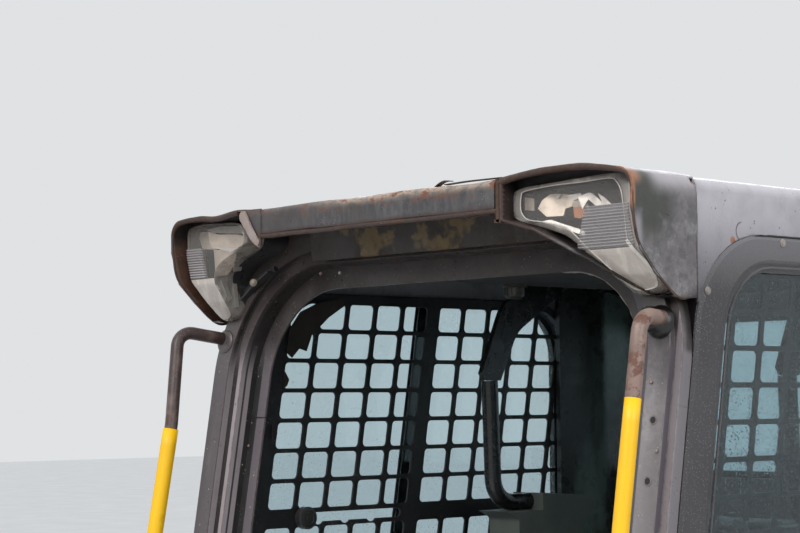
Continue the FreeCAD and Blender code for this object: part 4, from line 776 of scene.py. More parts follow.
def window_outline(grow, steps=8):
    low = WINDOW_LOW - grow
    high = WINDOW_HIGH + grow
    front = WINDOW_SET - grow
    back = WINDOW_BACK + grow
    bend = 0.086 + grow
    return rounded([(plane_y(low, front), low, bend), (back, low, bend),
                    (back, high, bend), (plane_y(high, front), high, bend)], steps)


def grille_holes():
    """Outlines of the grille's holes: leaning, with rounded corners, clipped by the frame."""
    border = window_outline(0)
    holes = []
    for row in range(13):
        z = WINDOW_HIGH - PITCH_Z * (row + 0.5) - (BAND if row >= BAND_ROW else 0)
        for column in range(12):
            y = plane_y(z, WINDOW_SET + 0.007) + PITCH_Y * (column + 0.5)
            y += DIVIDER if column >= DIVIDER_COLUMN else 0
            corners = [(y + a * HOLE_Y + TAN * b * HOLE_Z, z + b * HOLE_Z, HOLE_BEND)
                       for a, b in ((-1, -1), (1, -1), (1, 1), (-1, 1))]
            hole = clipped(rounded(corners, 4), border)
            if len(hole) > 2 and area(hole) > 0.3 * 4 * HOLE_Y * HOLE_Z:
                holes.append(hole)
    return holes


def latch_slot():
    """Outline of the latch slot with its three notches, counter-clockwise from its foot."""
    z = WINDOW_HIGH - BAND_ROW * PITCH_Z - 0.0115
    front = plane_y(z, WINDOW_SET)
    half = 0.0075
    outline = arc(front + 0.076 + half, z, half, 90, 270, 9)
    for n in range(3):
        outline += arc(front + 0.119 + n * 0.056, z - half + 0.007, 0.012, 215, 325, 7)
    return outline + arc(front + 0.296 - half, z, half, -90, 90, 9)


for side, label in SIDES:
    grille = flat_plate(f"side_grille_{label}", window_outline(0.014),
                        grille_holes() + [latch_slot()], GRILLE_X, GRILLE_THICK, 0.0007)
    if side < 0:
        grille.transform(Matrix.Scale(-1, 4, (1, 0, 0)))
        grille.flip_normals()
    piece(f"side_grille_{label}_plate", grille, "grille_paint",
          [f"side_grille_{label}"])


# ---------------------------------------------------------------- visor and lamp hoods

HOOD_X_MAX, HOOD_Z_MAX, VISOR_TOP, VISOR_END = 0.4785, 1.3934, 1.3865, 0.2405


def clamp(value, low=0.0, high=1.0):
    return min(high, max(low, value))


def visor_shift(p):
    """Light dents of the visor; its near end drawn in behind the lamp's opening."""
    move = wave(p, 9, 0.0035) + wave(p, 24, 0.0012, 5)
    move.x = min(0.0, VISOR_END - p.x)
    move.z = min(move.z, VISOR_TOP - p.z)
    move.y = max(move.y, HOOD_Y - 0.001 - p.y)
    return move


def hood_shift(p):
    """Dents of the lamp hoods, stronger on the machine's right."""
    move = wave(p, 10, 0.004 if p.x < 0 else 0.0022, 3) + wave(p, 30, 0.001, 8)
    move *= 0.35 + 0.65 * clamp((p.y - HOOD_Y - 0.002) / 0.03)
    if p.x < 0 and p.z > 1.36:
        sag = math.exp(-((p.x + 0.362) / 0.044) ** 2)
        low = clamp((0.46 + p.x) / 0.04)
        move.z -= (0.008 * sag + 0.0025 * low) * math.exp(-((p.y - HOOD_Y) / 0.05) ** 2)
    move.z = min(move.z, HOOD_Z_MAX - p.z)
    move.x = clamp(move.x, -HOOD_X_MAX - p.x, HOOD_X_MAX - p.x)
    return move


HOOD_TOP = ((0.2505, 1.3865), (0.275, 1.3888), (0.300, 1.3915), (0.330, 1.3935),
            (0.3625, 1.3938), (0.395, 1.3925), (0.420, 1.389), (0.445, 1.3845),
            (0.457, 1.3815), (0.4665, 1.3775))


def hood_roof(side, rows=12):
    """Crowned sheet over a lamp that falls back to the roof."""
    points, faces = [], []
    for sheet in (0, 0.0028):
        for x, z in smooth_line(HOOD_TOP, 4):
            for n in range(rows + 1):
                y = HOOD_Y + 0.0015 + 0.123 * n / rows
                fall = clamp((y + 0.440) / 0.098)
                fall = fall * fall * (3 - 2 * fall)
                top = z * (1 - fall) + min(z, 1.3815) * fall
                p = Vector((side * x, y, top - sheet))
                points.append(p + hood_shift(p))
    columns = len(points) // (2 * (rows + 1))
    half = columns * (rows + 1)
    for i in range(columns - 1):
        for n in range(rows):
            a = i * (rows + 1) + n
            quad = (a, a + 1, a + rows + 2, a + rows + 1)
            faces += [quad, tuple(half + k for k in reversed(quad))]
    border = (list(range(rows + 1))
              + [i * (rows + 1) + rows for i in range(1, columns)]
              + [half - 1 - n for n in range(1, rows + 1)]
              + [i * (rows + 1) for i in range(columns - 2, 0, -1)])
    faces += [(a, b, b + half, a + half) for a, b in zip(border, border[1:] + border[:1])]
    return from_lists(points, faces)


def torn_shelf(p):
    """Where the front of the shelf under the right lamp is torn away."""
    low = 1.331 - max(0.0, (-0.25 - p.x)) * 0.548
    edge = -0.352 + 0.004 * noise.noise(p * 40)
    return p.y < edge and p.z < low + 0.024 and p.x > -0.452


HOOD_BACK = [(252, 1380), (305, 1388), (362, 1390), (420, 1387), (458, 1378), (470, 1366),
             (471, 1300), (471, 1232), (447, 1230), (363, 1290), (307, 1319), (252, 1335)]
HOOD_LIP = [(248, -462, 1381), (275, -463, 1385), (305, -463, 1387.7), (357, -463, 1389),
            (403, -463, 1387), (440, -463, 1382), (462, -463, 1376), (471, -463, 1366),
            (473.5, -463, 1350), (473.5, -462, 1333), (473.5, -453, 1293),
            (473.5, -419, 1256), (473.5, -381, 1227), (473.5, -358, 1226)]


def visor_and_hoods():
    piece("visor_sheet", dented(["visor"], 0.012, visor_shift), "visor_paint",
          ["visor"], 40)
    for side, label in SIDES:
        node = "lamp_hood_" + label
        sheet = dented([node], 0.011, hood_shift, None if side > 0 else torn_shelf)
        piece(f"hood_sheet_{label}", sheet, "hood_paint", [node], 40)
        piece(f"hood_roof_{label}", [hood_roof(side)], "hood_paint", smooth=40)
        piece(f"hood_back_{label}", [plate([(side * x, z) for x, z in HOOD_BACK], -0.356,
                                           0.002)], "shaded_pan_paint")
    for side, label in SIDES:
        rim = smooth_line([mm(side * x, y, z) for x, y, z in HOOD_LIP[0 if side > 0 else 2:]], 5)
        rim = sweep([p + hood_shift(p) for p in rim], circle(0.0040, 10), up=(0, 1, 0.2),
                    size=lambda s: 1.0 if s < 0.36 else max(0.45, 1.0 - 2.2 * (s - 0.36)))
        piece(f"hood_rim_{label}", [rim], "rust_edge", smooth=60)
    parts = [plate([(243, 1386), (249, 1386), (249, 1329), (243, 1331)], HOOD_Y, 0.05),
             plate([(240, 1329), (252, 1329), (252, 1333.5), (240, 1333.5)], HOOD_Y, 0.05)]
    path = smooth_line([(-0.249, -0.4625, 1.3455), (-0.12, -0.463, 1.3445), (0, -0.4625, 1.345),
                        (0.13, -0.463, 1.3445), (0.243, -0.4625, 1.345)], 8)
    parts.append(sweep([p + wave(p, 12, 0.001) for p in path], circle(0.0034, 8)))
    piece("visor_edge", parts, "rust_edge", smooth=50)
    # The visor runs on past the dented inner end of the right hood, to a slanted flange.
    cover = [(-249, 1386), (-249, 1331), (-256, 1331.5), (-262, 1340), (-277, 1360),
             (-293, 1379), (-302, 1388), (-280, 1386.5)]
    piece("visor_end", [plate(cover, HOOD_Y + 0.0005, 0.003)], "visor_paint")
    flange = smooth_line([(-0.294, -0.4665, 1.3835), (-0.286, -0.4665, 1.3735),
                          (-0.272, -0.467, 1.355), (-0.260, -0.466, 1.340),
                          (-0.252, -0.462, 1.3325)], 4)
    flange = sweep(flange, [(0.0095, -0.001), (0.0095, 0.001), (0.002, 0.0018),
                            (-0.0095, 0.0006), (-0.0095, -0.001)], up=(0, -1, 0),
                   size=lambda s: min(0.45 + 3 * s, 1.0 - 0.45 * s))
    piece("hood_flange", [flange], "pale_edge", smooth=50)
    curl = smooth_line([(0.118, -0.452, 1.3862), (0.128, -0.4535, 1.3905),
                        (0.139, -0.4545, 1.3930), (0.150, -0.455, 1.3922)], 4)
    strip = smooth_line([(0.14, -0.455, 1.388), (0.18, -0.4555, 1.3888),
                         (0.215, -0.4555, 1.3885), (0.249, -0.4555, 1.388)], 4)
    leaf = ribbon(0.004, 0.0006)
    piece("torn_strip", [sweep(curl, leaf), sweep(strip, leaf)], "rust_edge")


visor_and_hoods()


# ---------------------------------------------------------------- head lamps

LENS_ROWS = ((1.20, -0.355), (1.227, -0.382), (1.256, -0.411), (1.284, -0.431),
             (1.330, -0.441), (1.40, -0.441))


def lens_y(z):
    for (z0, y0), (z1, y1) in zip(LENS_ROWS, LENS_ROWS[1:]):
        if z <= z1:
            return y0 + (y1 - y0) * (z - z0) / (z1 - z0)
    return LENS_ROWS[-1][1]


def lens_sheet(outline, shift, thick, step=0.005):
    """Filled outline in (x, z), laid on the lens surface in level strips."""
    work = bmesh.new()
    work.faces.new([work.verts.new((x, 0, z)) for x, z in outline])
    level = min(z for _, z in outline) + step
    while level < max(z for _, z in outline):
        bmesh.ops.bisect_plane(work, geom=work.verts[:] + work.edges[:] + work.faces[:],
                               plane_co=(0, 0, level), plane_no=(0, 0, 1))
        level += step
    middle = sum(x for x, _ in outline) / len(outline)
    for vert in work.verts:
        bulge = 0.0015 * (1 - ((vert.co.x - middle) / 0.09) ** 2)
        vert.co.y = lens_y(vert.co.z) + shift - bulge
    bmesh.ops.recalc_face_normals(work, faces=work.faces[:])
    if work.faces[0].normal.y > 0:
        bmesh.ops.reverse_faces(work, faces=work.faces[:])
    bmesh.ops.solidify(work, geom=work.faces[:], thickness=thick)
    return outward(work)


def lens_wall(outer, inner, back):
    """Rim of a lens: from the inner outline's bead out to the border and back as a skirt."""
    points = []
    for share, shift in ((1.0, -0.0012), (0.85, -0.0018), (0.15, -0.0004), (0.0, 0.003),
                         (0.0, back), (0.06, back), (0.06, 0.004), (0.9, 0.002)):
        for (xo, zo), (xi, zi) in zip(outer, inner):
            x, z = xi * share + xo * (1 - share), zi * share + zo * (1 - share)
            points.append((x, lens_y(z) + shift, z))
    return loft(points, len(outer), None)


def ribs(left, right, low, high, count):
    """Block of level half-round ribs on a lens, between slanting ends."""
    points = []
    rows = count * 6
    for n in range(rows + 1):
        share = n / rows
        z = low + (high - low) * share
        lift = 0.0018 * abs(math.sin(math.pi * n / 6))
        a, b = (start + (stop - start) * share for start, stop in (left, right))
        points += [(x, lens_y(z) - 0.0024 - lift, z) for x in (a, b)]
        points += [(x, lens_y(z) + 0.001, z) for x in (b, a)]
    return loft(points, 4)


def shell(outline, front, back, wall=0.93):
    """Open-fronted housing behind a lens: walls back from the lens and a closed back."""
    count = len(outline)
    cx, cz = (sum(p[k] for p in outline) / count for k in (0, 1))
    points = []
    for scale, shift in ((1.0, front), (1.0, back), (0.9, back + 0.008), (wall - 0.06, back),
                         (wall, front)):
        for x, z in outline:
            x, z = cx + (x - cx) * scale, cz + (z - cz) * scale
            points.append((x, lens_y(z) + shift, z))
    return loft(points, count, 2)


def halves(outline, line, above):
    """The part of an outline above or below a level."""
    ordered = outline if area(outline) > 0 else outline[::-1]
    result = []
    work = [Vector(p) for p in ordered]
    for i, here in enumerate(work):
        before = work[i - 1]
        if (here.y > line) != (before.y > line):
            share = (line - before.y) / (here.y - before.y)
            result.append(before.lerp(here, share))
        if (here.y > line) == above:
            result.append(here)
    return [tuple(p) for p in result]


NEAR_OUTER = [(243, 1350), (248, 1366), (266, 1374), (320, 1376.5), (374, 1379), (420, 1380),
              (440, 1378), (460, 1368), (466, 1347), (466, 1317), (466, 1297), (467, 1275),
              (469, 1257), (470, 1245), (465, 1237), (450, 1232), (425, 1230.5), (410, 1233),
              (401, 1246), (386, 1265), (368, 1284), (354, 1296), (336, 1308), (304, 1319),
              (262, 1331), (247, 1341)]
NEAR_INNER = [(267, 1346), (268, 1363), (276, 1369), (327, 1372), (374, 1372), (419, 1373),
              (431, 1368), (438, 1357), (441, 1342), (442, 1318), (441, 1295), (449, 1283),
              (462, 1257), (460, 1246), (454, 1240), (440, 1237), (425, 1236.5),
              (414, 1240), (405, 1252), (391, 1271), (374, 1290), (350, 1313), (332, 1321),
              (306, 1327), (282, 1331), (272, 1337)]
FAR_OUTER = [(464, 1342), (464, 1360), (460, 1371), (447, 1375), (424, 1377), (378, 1375.5),
             (342, 1373), (328, 1368), (320, 1358), (317, 1347), (322, 1337), (338, 1329),
             (365, 1320), (388, 1309), (402, 1296), (405, 1284), (405, 1268), (407, 1252),
             (415, 1236), (430, 1229), (445, 1229), (450, 1238), (452, 1252), (457, 1268),
             (461, 1282), (466, 1291), (465, 1312)]

CHIPS_LEFT = (
    ("chrome", -0.415, 0.1, 0.37,
     [(280, 1347), (285, 1358), (295, 1365), (315, 1364), (326, 1361), (331, 1350), (316, 1345),
      (314, 1336), (292, 1336)]),
    ("bright_chrome", -0.417, 0.2, 0.37,
     [(302, 1365), (312, 1364), (308, 1358)]),
    ("bright_chrome", -0.416, 0.1, 0.31,
     [(325, 1361), (344, 1363), (345, 1358), (334, 1353), (329, 1356)]),
    ("bright_chrome", -0.417, 0.2, 0.37,
     [(347, 1357), (360, 1362), (366, 1360), (383, 1345), (372, 1344), (361, 1353), (355, 1341)]),
    ("bright_chrome", -0.416, 0.1, 0.4,
     [(378, 1359), (386, 1354), (395, 1345), (386, 1344)]),
    ("chrome", -0.412, -0.1, 0.28,
     [(331, 1350), (345, 1357), (355, 1345), (352, 1336), (338, 1333)]),
    ("amber", -0.417, 0.0, 0.34,
     [(337, 1345), (351, 1345), (353, 1334), (346, 1330), (338, 1332)]),
    ("bright_chrome", -0.43, 0.3, 0.37,
     [(298, 1328), (311, 1330), (330, 1323), (357, 1314), (360, 1307), (333, 1316)]),
    ("chrome", -0.42, 0.0, 0.46,
     [(249, 1365), (265, 1362), (265, 1346), (249, 1348)]))
CHIPS_RIGHT = (
    ("chrome", -0.415, 0.05, 0.25,
     [(-468, 1368), (-434, 1368), (-430, 1339), (-457, 1341)]),
    ("chrome", -0.416, 0.1, 0.28,
     [(-432, 1366), (-413, 1361), (-376, 1359), (-357, 1354), (-356, 1345), (-378, 1337),
      (-424, 1343)]),
    ("chrome", -0.413, 0.0, 0.28,
     [(-426, 1338), (-381, 1336), (-388, 1312), (-400, 1298), (-422, 1296)]),
    ("bright_chrome", -0.419, 0.3, 0.28,
     [(-426, 1348), (-393, 1341), (-372, 1338), (-385, 1332), (-426, 1342)]),
    ("bright_chrome", -0.412, 0.3, 0.28,
     [(-442, 1370), (-413, 1374), (-372, 1372), (-360, 1366), (-360, 1360), (-413, 1363)]))


def lamp(label, side, outer, inner, chips, split, rib_left, rib_right, rib_rows):
    """Clear lens with a ribbed block and a frosted tail over a reflector and a bowl."""
    outer, inner = ([tuple(p) for p in smooth_line([(side * x / 1000, z / 1000)
                                                    for x, z in line], 4, True)]
                    for line in (outer, inner))
    lens, body = "lamp_lens_" + label, "lamp_body_" + label
    piece(f"lens_{label}", lens_sheet(halves(inner, split, True), 0.0, 0.003), "lamp_lens",
          [lens], 50)
    piece(f"lens_tail_{label}", lens_sheet(halves(inner, split, False), -0.0004, 0.003),
          "lamp_frost", smooth=50)
    piece(f"lens_ribs_{label}", [ribs(rib_left, rib_right, *rib_rows)], "lamp_ribs",
          smooth=60)
    piece(f"lens_rim_{label}", [lens_wall(outer, inner, 0.034)], "lamp_border",
          smooth=50)
    piece(f"lamp_housing_{label}", [shell(outer, 0.036, 0.082)], "lamp_bowl", [body], 50)
    for kind in ("chrome", "bright_chrome", "amber"):
        found = [plate(points, y, 0.002, lean, turn)
                 for used, y, lean, turn, points in chips if used == kind]
        if found:
            piece(f"reflector_{kind}_{label}", found, kind)


def lamps():
    lamp("left", 1, NEAR_OUTER, NEAR_INNER, CHIPS_LEFT, 1.287, (0.357, 0.380),
         (0.451, 0.450), (1.288, 1.341, 14))
    middle = Vector((0.405, 1.320))
    inner = [tuple(Vector(p) / 1000 + (middle - Vector(p) / 1000).normalized() * 0.0025)
             for p in FAR_OUTER]
    lamp("right", -1, FAR_OUTER, [(x * 1000, z * 1000) for x, z in inner], CHIPS_RIGHT, 1.292,
         (-0.4625, -0.4625), (-0.424, -0.426), (1.293, 1.340, 12))
    # What shows through the side of the right lamp's lens.
    facets = [slab(corners, x, -0.001) for x, corners in (
        (-0.386, [(-408, 1320), (-392, 1322), (-396, 1304), (-411, 1302)]),
        (-0.4035, [(-421, 1288), (-411, 1286), (-401, 1262), (-407, 1257)]),
        (-0.4035, [(-398, 1285), (-391, 1285), (-387, 1249), (-394, 1248)]))]
    piece("reflector_side_right", facets, "bright_chrome")
    # Pale strip along the left lens's tail and pale bead round its inner edge: painted highlights
    # of the lens edges.
    edge = smooth_line([(0.4405, 0, 1.296), (0.449, 0, 1.2835), (0.457, 0, 1.271),
                        (0.4645, 0, 1.258)], 4)
    for p in edge:
        p.y = lens_y(p.z) - 0.0032
    bead = [Vector((x / 1000, lens_y(z / 1000) - 0.0022, z / 1000)) for x, z in NEAR_INNER]
    piece("lens_highlight_bead_left", [
        sweep(edge, ribbon(0.0022, 0.0006), up=(0, -1, 0)),
        sweep(smooth_line(bead, 3, True), circle(0.0008, 5), up=(0, -1, 0), closed=True)],
        "pale_highlight_plastic")
    fins = [sweep([(-0.328, -0.385, 1.300), (-0.355, -0.388, 1.284), (-0.388, -0.391, 1.259)],
                  ribbon(0.006, 0.0015)),
            sweep([(-0.33, -0.372, 1.305), (-0.40, -0.376, 1.272)], ribbon(0.004, 0.004))]
    piece("lamp_bracket_right", fins, "seal_rubber")
    piece("lamp_bracket_bolt", [bolt((-0.355, -0.3960, 1.284), (0.5, -0.85, 0), 0.0060)],
          "steel")


lamps()


# ---------------------------------------------------------------- front arch details

ARCH_WELD = [(-29, -319, 1286), (20, -319, 1287), (64, -319, 1287), (112, -319, 1286),
             (162, -320, 1284), (192, -320, 1280), (220, -321, 1274), (248, -322, 1267),
             (274, -324, 1257), (296, -326, 1245), (322, -329, 1228), (343, -332, 1209),
             (353, -335, 1190), (360, -338, 1171)]
HANDLE_TOP, HANDLE_FOOT, HANDLE_X = 1.212, 0.56, 0.446      # where the handles leave a post


def front_details():
    surface = bmesh.new()
    for node in ("front_arch", "arch_bends", "front_posts"):
        surface.from_mesh(NODES[node].data)
    tree = BVHTree.FromBMesh(surface)
    surface.free()
    path = [tree.find_nearest(p)[0] + wave(p, 60, 0.0012)
            for p in smooth_line([mm(*p) for p in ARCH_WELD], 4)]
    path = [p for n, p in enumerate(path) if n == 0 or (p - path[n - 1]).length > 0.002]
    weld = sweep(path, circle(0.0021, 6), up=(0, 1, 0),
                 size=lambda s: 0.8 + 0.6 * noise.noise(Vector((s * 40, 0, 0))))
    piece("arch_weld", [weld], "weld", smooth=60)
    marks = [bolt(mm(x, -366, z), FACING, 0.004, False, 10)
             for x, z in ((-227, 1292), (-183, 1291))]
    marks += [bolt(on_front(*place), FACING, 0.0035, False, 10) for place in (
        (0.440, 0, 1.137), (0.458, 0, 1.052), (-0.4075, 0.0438, 1.053))]
    piece("arch_specks", marks, "pale_edge")
    holes = [on_front(0.448, -0.0002, along) for along in (1.090, 1.015, 0.80, 0.45)]
    rim = [(0.0062, 0), (0.0062, 0.0005), (0.0050, 0.0009), (0.0042, 0.0007)]
    # Black discs in the holes paint the shade inside them.
    hole_shade_disc = [(0.0043, 0.0), (0.0043, 0.0009), (0.002, 0.0009)]
    piece("post_hole_rims", [turned(rim, place, FACING) for place in holes], "arch_paint")
    piece("post_holes", [turned(hole_shade_disc, place, FACING, 14) for place in holes], "seal_rubber")
    collar = [(0.019, 0), (0.0185, 0.0014), (0.0165, 0.0028), (0.0145, 0.0034),
              (0.0135, 0.0036)]
    piece("handle_collars", [
        turned(collar, on_front(side * HANDLE_X, -0.0003, along), FACING, 20)
        for side, _ in SIDES for along in (HANDLE_TOP, HANDLE_FOOT)],
        "arch_paint")
    boot = turned([(0.021, 0), (0.0208, 0.005), (0.0185, 0.0095), (0.0165, 0.0115),
                   (0.0158, 0.024), (0.0152, 0.027), (0.0138, 0.028)],
                  on_front(HANDLE_X, 0.0, HANDLE_TOP), FACING, 24)
    piece("handle_boot", [boot], "boot", smooth=50)


front_details()


def handle_shift(p, grip=False):
    """The left handle is bent in towards its post and down a little at its top."""
    if p.x < 0:
        return Vector()
    depth = (p.y - FOOT_Y) * COS - p.z * SIN
    along = (p.y - FOOT_Y) * SIN + p.z * COS
    out = clamp(-depth / 0.06)
    push, side = 0.0112 * out, 0.0
    if grip:
        push += (-0.076 - depth) * 0.14
        side = (0.469 - p.x) * 0.14
    drop = -0.006 * out * clamp((along - 1.0) / 0.15)
    return Vector((side, push * COS + drop * SIN, drop * COS - push * SIN))


for handle_part in ("grab_handles", "grips"):
    bent = dented([handle_part], 0.03, lambda p: handle_shift(p, handle_part == "grips"))
    piece(handle_part + "_bent", bent, SLOTS[handle_part], [handle_part], 50)


# ---------------------------------------------------------------- windows

RING_BOLTS = ((-176, 1302), (40, 1302), (250, 1302), (410, 1150), (410, 900), (410, 690),
              (-90, 575), (150, 575), (330, 575), (-392, 900), (-408, 740), (-330, 1235))
BOLT_X_MIN, BOLT_X_MAX = -0.4789, 0.4809
RIGHT_FLAPS = (
    [(-269, 1171), (-254, 1186), (-239, 1182), (-227, 1210), (-219, 1217), (-207, 1225),
     (-193, 1237), (-157, 1258), (-165, 1269), (-214, 1261), (-252, 1245), (-275, 1216),
     (-281, 1180)],
    [(-287, 1154), (-280, 1144), (-275, 1136), (-279, 1127), (-287, 1121)],
    [(-311, 1065), (-304, 1058), (-299, 1051), (-306, 1044), (-311, 1040)])


def ring_details():
    """Bolts, bead and gap of the window rings, and a black disc in a hole in each hood's cheek
    that paints the shade inside it.
    """
    heads = [bolt((side * 0.4787, y / 1000, z / 1000), (side, 0, 0), 0.0055, True, 12)
             for side, _ in SIDES for y, z in RING_BOLTS]
    for head in heads:
        for vert in head.vertices:
            vert.co.x = clamp(vert.co.x, BOLT_X_MIN, BOLT_X_MAX)
    piece("ring_bolts", heads, "weld")
    beads, gaps = [], []
    for side, level in ((1, 0.4788), (-1, 0.4772)):
        for found, x, grow, radius in ((beads, level, 0.006, 0.0018),
                                       (gaps, 0.4748, 0.0475, 0.0013)):
            path = [(side * x, y, z) for y, z in window_outline(grow, 6)]
            found.append(sweep(path, circle(radius, 6), up=(side, 0, 0), closed=True))
    piece("ring_beads", beads, "ring_moulding", smooth=60)
    piece("ring_gaps", gaps, "seal_rubber", smooth=60)
    # Black discs paint the shade inside the cheek holes.
    hole = [(0.0062, 0), (0.0062, 0.0011), (0.002, 0.0011)]
    piece("cheek_holes", [turned(hole, (side * 0.4748, -0.399, 1.331), (side, 0, 0))
                          for side, _ in SIDES], "seal_rubber")


def window_details():
    """Stile where the panes overlap, latch caps and the torn flaps of the right seal."""
    stile = [(-73, 603), (-38, 603), (71, 1272), (36, 1272)]
    piece("pane_stiles", [slab(stile, side * 0.4555 - 0.0008, 0.0016) for side, _ in SIDES],
          "seal_rubber")
    cap = [(0.0145, 0), (0.0140, 0.002), (0.0105, 0.003), (0.0095, 0.0012), (0.005, 0.0012),
           (0.004, 0.003), (0.001, 0.003)]
    piece("latch_caps", [turned(cap, (side * 0.408, -0.2455, 0.915), (-side, 0, 0), 18)
                         for side, _ in SIDES], "seal_rubber", smooth=50)
    piece("seal_flaps", [slab(points, -0.4195, 0.001) for points in RIGHT_FLAPS], "flap")


ring_details()
window_details()


# ---------------------------------------------------------------- seat

def cushion(name, node, seams, puff=0.016):
    """Padded form swollen from a CAD solid by cloth pressure, with sewn channels."""
    low, high = (Vector(c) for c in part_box(node))
    centre = (low + high) / 2
    mesh = NODES[node].data.copy()
    mesh.transform(Matrix.Translation(centre) @ Matrix.Diagonal((0.965, 0.95, 0.93, 1))
                   @ Matrix.Translation(-centre))
    made = piece(name, mesh, "seat_cover", [node], 60)
    bpy.context.view_layer.objects.active = made
    for other in bpy.context.selected_objects:
        other.select_set(False)
    made.select_set(True)
    remesh = made.modifiers.new("remesh", "REMESH")
    remesh.mode = "VOXEL"
    remesh.voxel_size = 0.006
    bpy.ops.object.modifier_apply(modifier="remesh")
    relax = made.modifiers.new("relax", "SMOOTH")
    relax.iterations = 12
    bpy.ops.object.modifier_apply(modifier="relax")
    before = [v.co.copy() for v in made.data.vertices]
    cloth = made.modifiers.new("cloth", "CLOTH")
    cloth.settings.use_pressure = True
    cloth.settings.uniform_pressure_force = 4
    cloth.settings.effector_weights.gravity = 0
    for frame_number in range(1, 21):
        bpy.context.scene.frame_set(frame_number)
    bpy.ops.object.modifier_apply(modifier="cloth")
    bpy.context.scene.frame_set(1)
    for vert, start in zip(made.data.vertices, before):
        move = vert.co - start
        if move.length > puff:
            vert.co = start + move.normalized() * puff
    made.data.update()
    normals = [v.normal.copy() for v in made.data.vertices]
    for vert, normal in zip(made.data.vertices, normals):
        vert.co -= normal * seams(vert.co, normal)
        for k in range(3):
            vert.co[k] = clamp(vert.co[k], low[k] - 0.003, high[k] + 0.004)
    finer = made.modifiers.new("finer", "SUBSURF")
    finer.levels = finer.render_levels = 1
    bpy.ops.object.modifier_apply(modifier="finer")
    made.data.shade_smooth()


def channel(distance, width=0.006, depth=0.006):
    return depth * math.exp(-(distance / width) ** 2)


def cushion_seams(p, normal):
    sunk = 0.0
    if normal.z > 0.3:
        if abs(p.x) < 0.15:
            sunk = max(channel(p.y - y) for y in (0.02, 0.12, 0.22))
        sunk = max(sunk, channel(abs(p.x) - 0.152, 0.007, 0.009))
    return max(sunk, channel(p.z - 0.452, 0.0035, 0.003))


def back_seams(p, normal):
    sunk = 0.0
    if normal.y < -0.3:
        if abs(p.x) < 0.14:
            sunk = max(channel(p.z - z) for z in (0.60, 0.69, 0.78, 0.87))
        sunk = max(sunk, channel(abs(p.x) - 0.145, 0.007, 0.009))
    return sunk


cushion("seat_cushion_pad", "seat_cushion", cushion_seams)
cushion("seat_back_pad", "seat_back", back_seams)


# ---------------------------------------------------------------- cab interior

def dome(x=-0.205, y=0.022):
    """Small ribbed lamp under the headliner."""
    parts = [turned([(0.020, 0), (0.020, -0.004), (0.0165, -0.006), (0.016, -0.019),
                     (0.012, -0.023), (0.004, -0.024)], (x, y, 1.289), sides=20)]
    for a, b in circle(0.0162, 12):
        parts.append(sweep([(x + a, y + b, 1.2835), (x + a, y + b, 1.2705)],
                           circle(0.0014, 5), up=(0, 1, 0)))
    piece("dome_lamp", parts, "dome_light", ["dome_light"], 50)


def controls():
    """Pleated boots under the levers, buttons on the consoles."""
    boots, buttons = [], []
    pleats = [(0.034, 0), (0.034, 0.004), (0.030, 0.008), (0.031, 0.013), (0.026, 0.018),
              (0.027, 0.023), (0.021, 0.029), (0.022, 0.034), (0.016, 0.041), (0.017, 0.046),
              (0.012, 0.055)]
    for side, _ in SIDES:
        boots.append(turned(pleats, (side * 0.33, -0.0025, 0.499), sides=24))
        for x, y, radius in ((0.312, 0.10, 0.009), (0.348, 0.10, 0.009),
                             (0.312, 0.14, 0.009), (0.348, 0.14, 0.009), (0.33, 0.19, 0.014)):
            buttons.append(turned([(radius, 0), (radius, 0.002), (radius * 0.86, 0.0026),
                                   (radius * 0.8, 0.001), (radius * 0.7, 0.001),
                                   (radius * 0.62, 0.0045), (radius * 0.3, 0.005)],
                                  (side * x, y, 0.5), sides=18))
    piece("lever_boots", boots, "lever_rubber", smooth=50)
    piece("console_buttons", buttons, "pad_moulding", smooth=50)


dome()
controls()


# ---------------------------------------------------------------- stage

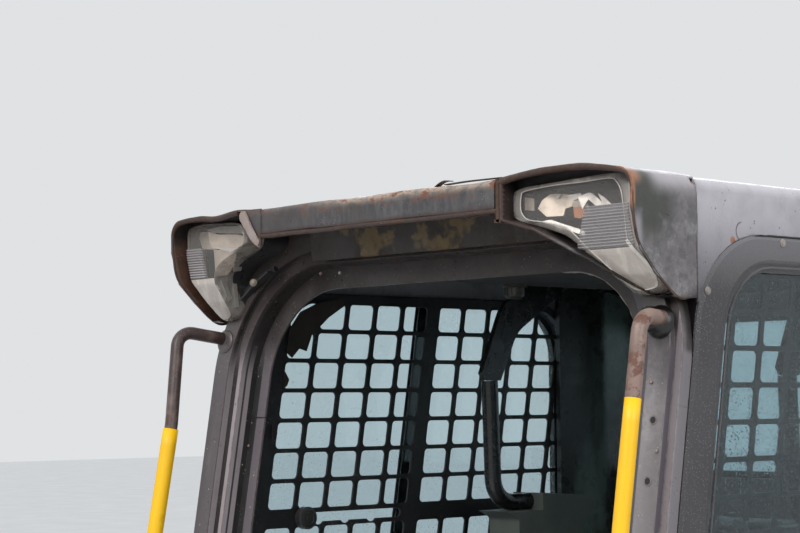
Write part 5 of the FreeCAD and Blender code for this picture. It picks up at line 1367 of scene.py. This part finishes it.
SKY = ((0.0, (0.16, 0.16, 0.16)), (1.0, (1.02, 1.06, 1.12)),
       (0.46, (0.22, 0.2244, 0.231)), (0.54, (0.62, 0.6324, 0.651)))
LIGHTS = (("key", (0.6, -3.6, 3.4), 95, 2.2, (1, 0.98, 0.96)),
          ("fill", (3.8, -0.6, 2.6), 60, 2.0, (0.94, 0.97, 1)),
          ("rear", (-2.5, 3.0, 3.6), 60, 3.0, (0.95, 0.98, 1)))


def sky():
    """Sky that lights from above and shows as a plain pale wall."""
    world = bpy.data.worlds.new("sky")
    bpy.context.scene.world = world
    t = Tree("sky", world, "OutputWorld")
    up = t.node("SeparateXYZ", {0: t.coordinates.outputs["Generated"]}).outputs["Z"]
    height = t.node("MapRange", {"Value": up, "From Min": -1.0}).outputs["Result"]
    ramp = t.node("ValToRGB", {"Fac": height})
    marks = ramp.color_ramp.elements
    for n, (position, colour) in enumerate(SKY):
        mark = marks[n] if n < 2 else marks.new(position)
        mark.position, mark.color = position, (*colour, 1)
    light = t.node("Background", {"Color": ramp.outputs["Color"]})
    wall = t.node("Background", {"Color": srgb(224, 226, 228)})
    mixed = t.node("MixShader", {0: t.seen(), 1: light.outputs[0], 2: wall.outputs[0]})
    t.feed(t.output.inputs["Surface"], mixed.outputs[0])


def stage():
    """Pale floor, sky and three soft lamps."""
    t = Tree("floor")
    pale = t.mix(t.between(t.noise(3, 4), 0.3, 0.7), srgb(216, 216, 214), srgb(222, 222, 221))
    t.finish(Base_Color=t.mix(t.seen(), srgb(120, 118, 114), pale), Roughness=0.85)
    mesh = from_lists([(-30, -30, 0), (30, -30, 0), (30, 30, 0), (-30, 30, 0)],
                      [(0, 1, 2, 3)])
    mesh.materials.append(MATERIALS["floor"])
    floor = bpy.data.objects.new("floor", mesh)
    bpy.context.collection.objects.link(floor)
    sky()
    for name, place, energy, size, colour in LIGHTS:
        data = bpy.data.lights.new(name, "AREA")
        data.energy = energy
        data.size = size
        data.color = colour
        lit = bpy.data.objects.new(name, data)
        bpy.context.collection.objects.link(lit)
        lit.location = place
        aimed = (Vector((0, 0, 0.9)) - Vector(place)).to_track_quat("-Z", "Y")
        lit.rotation_euler = aimed.to_euler()


stage()
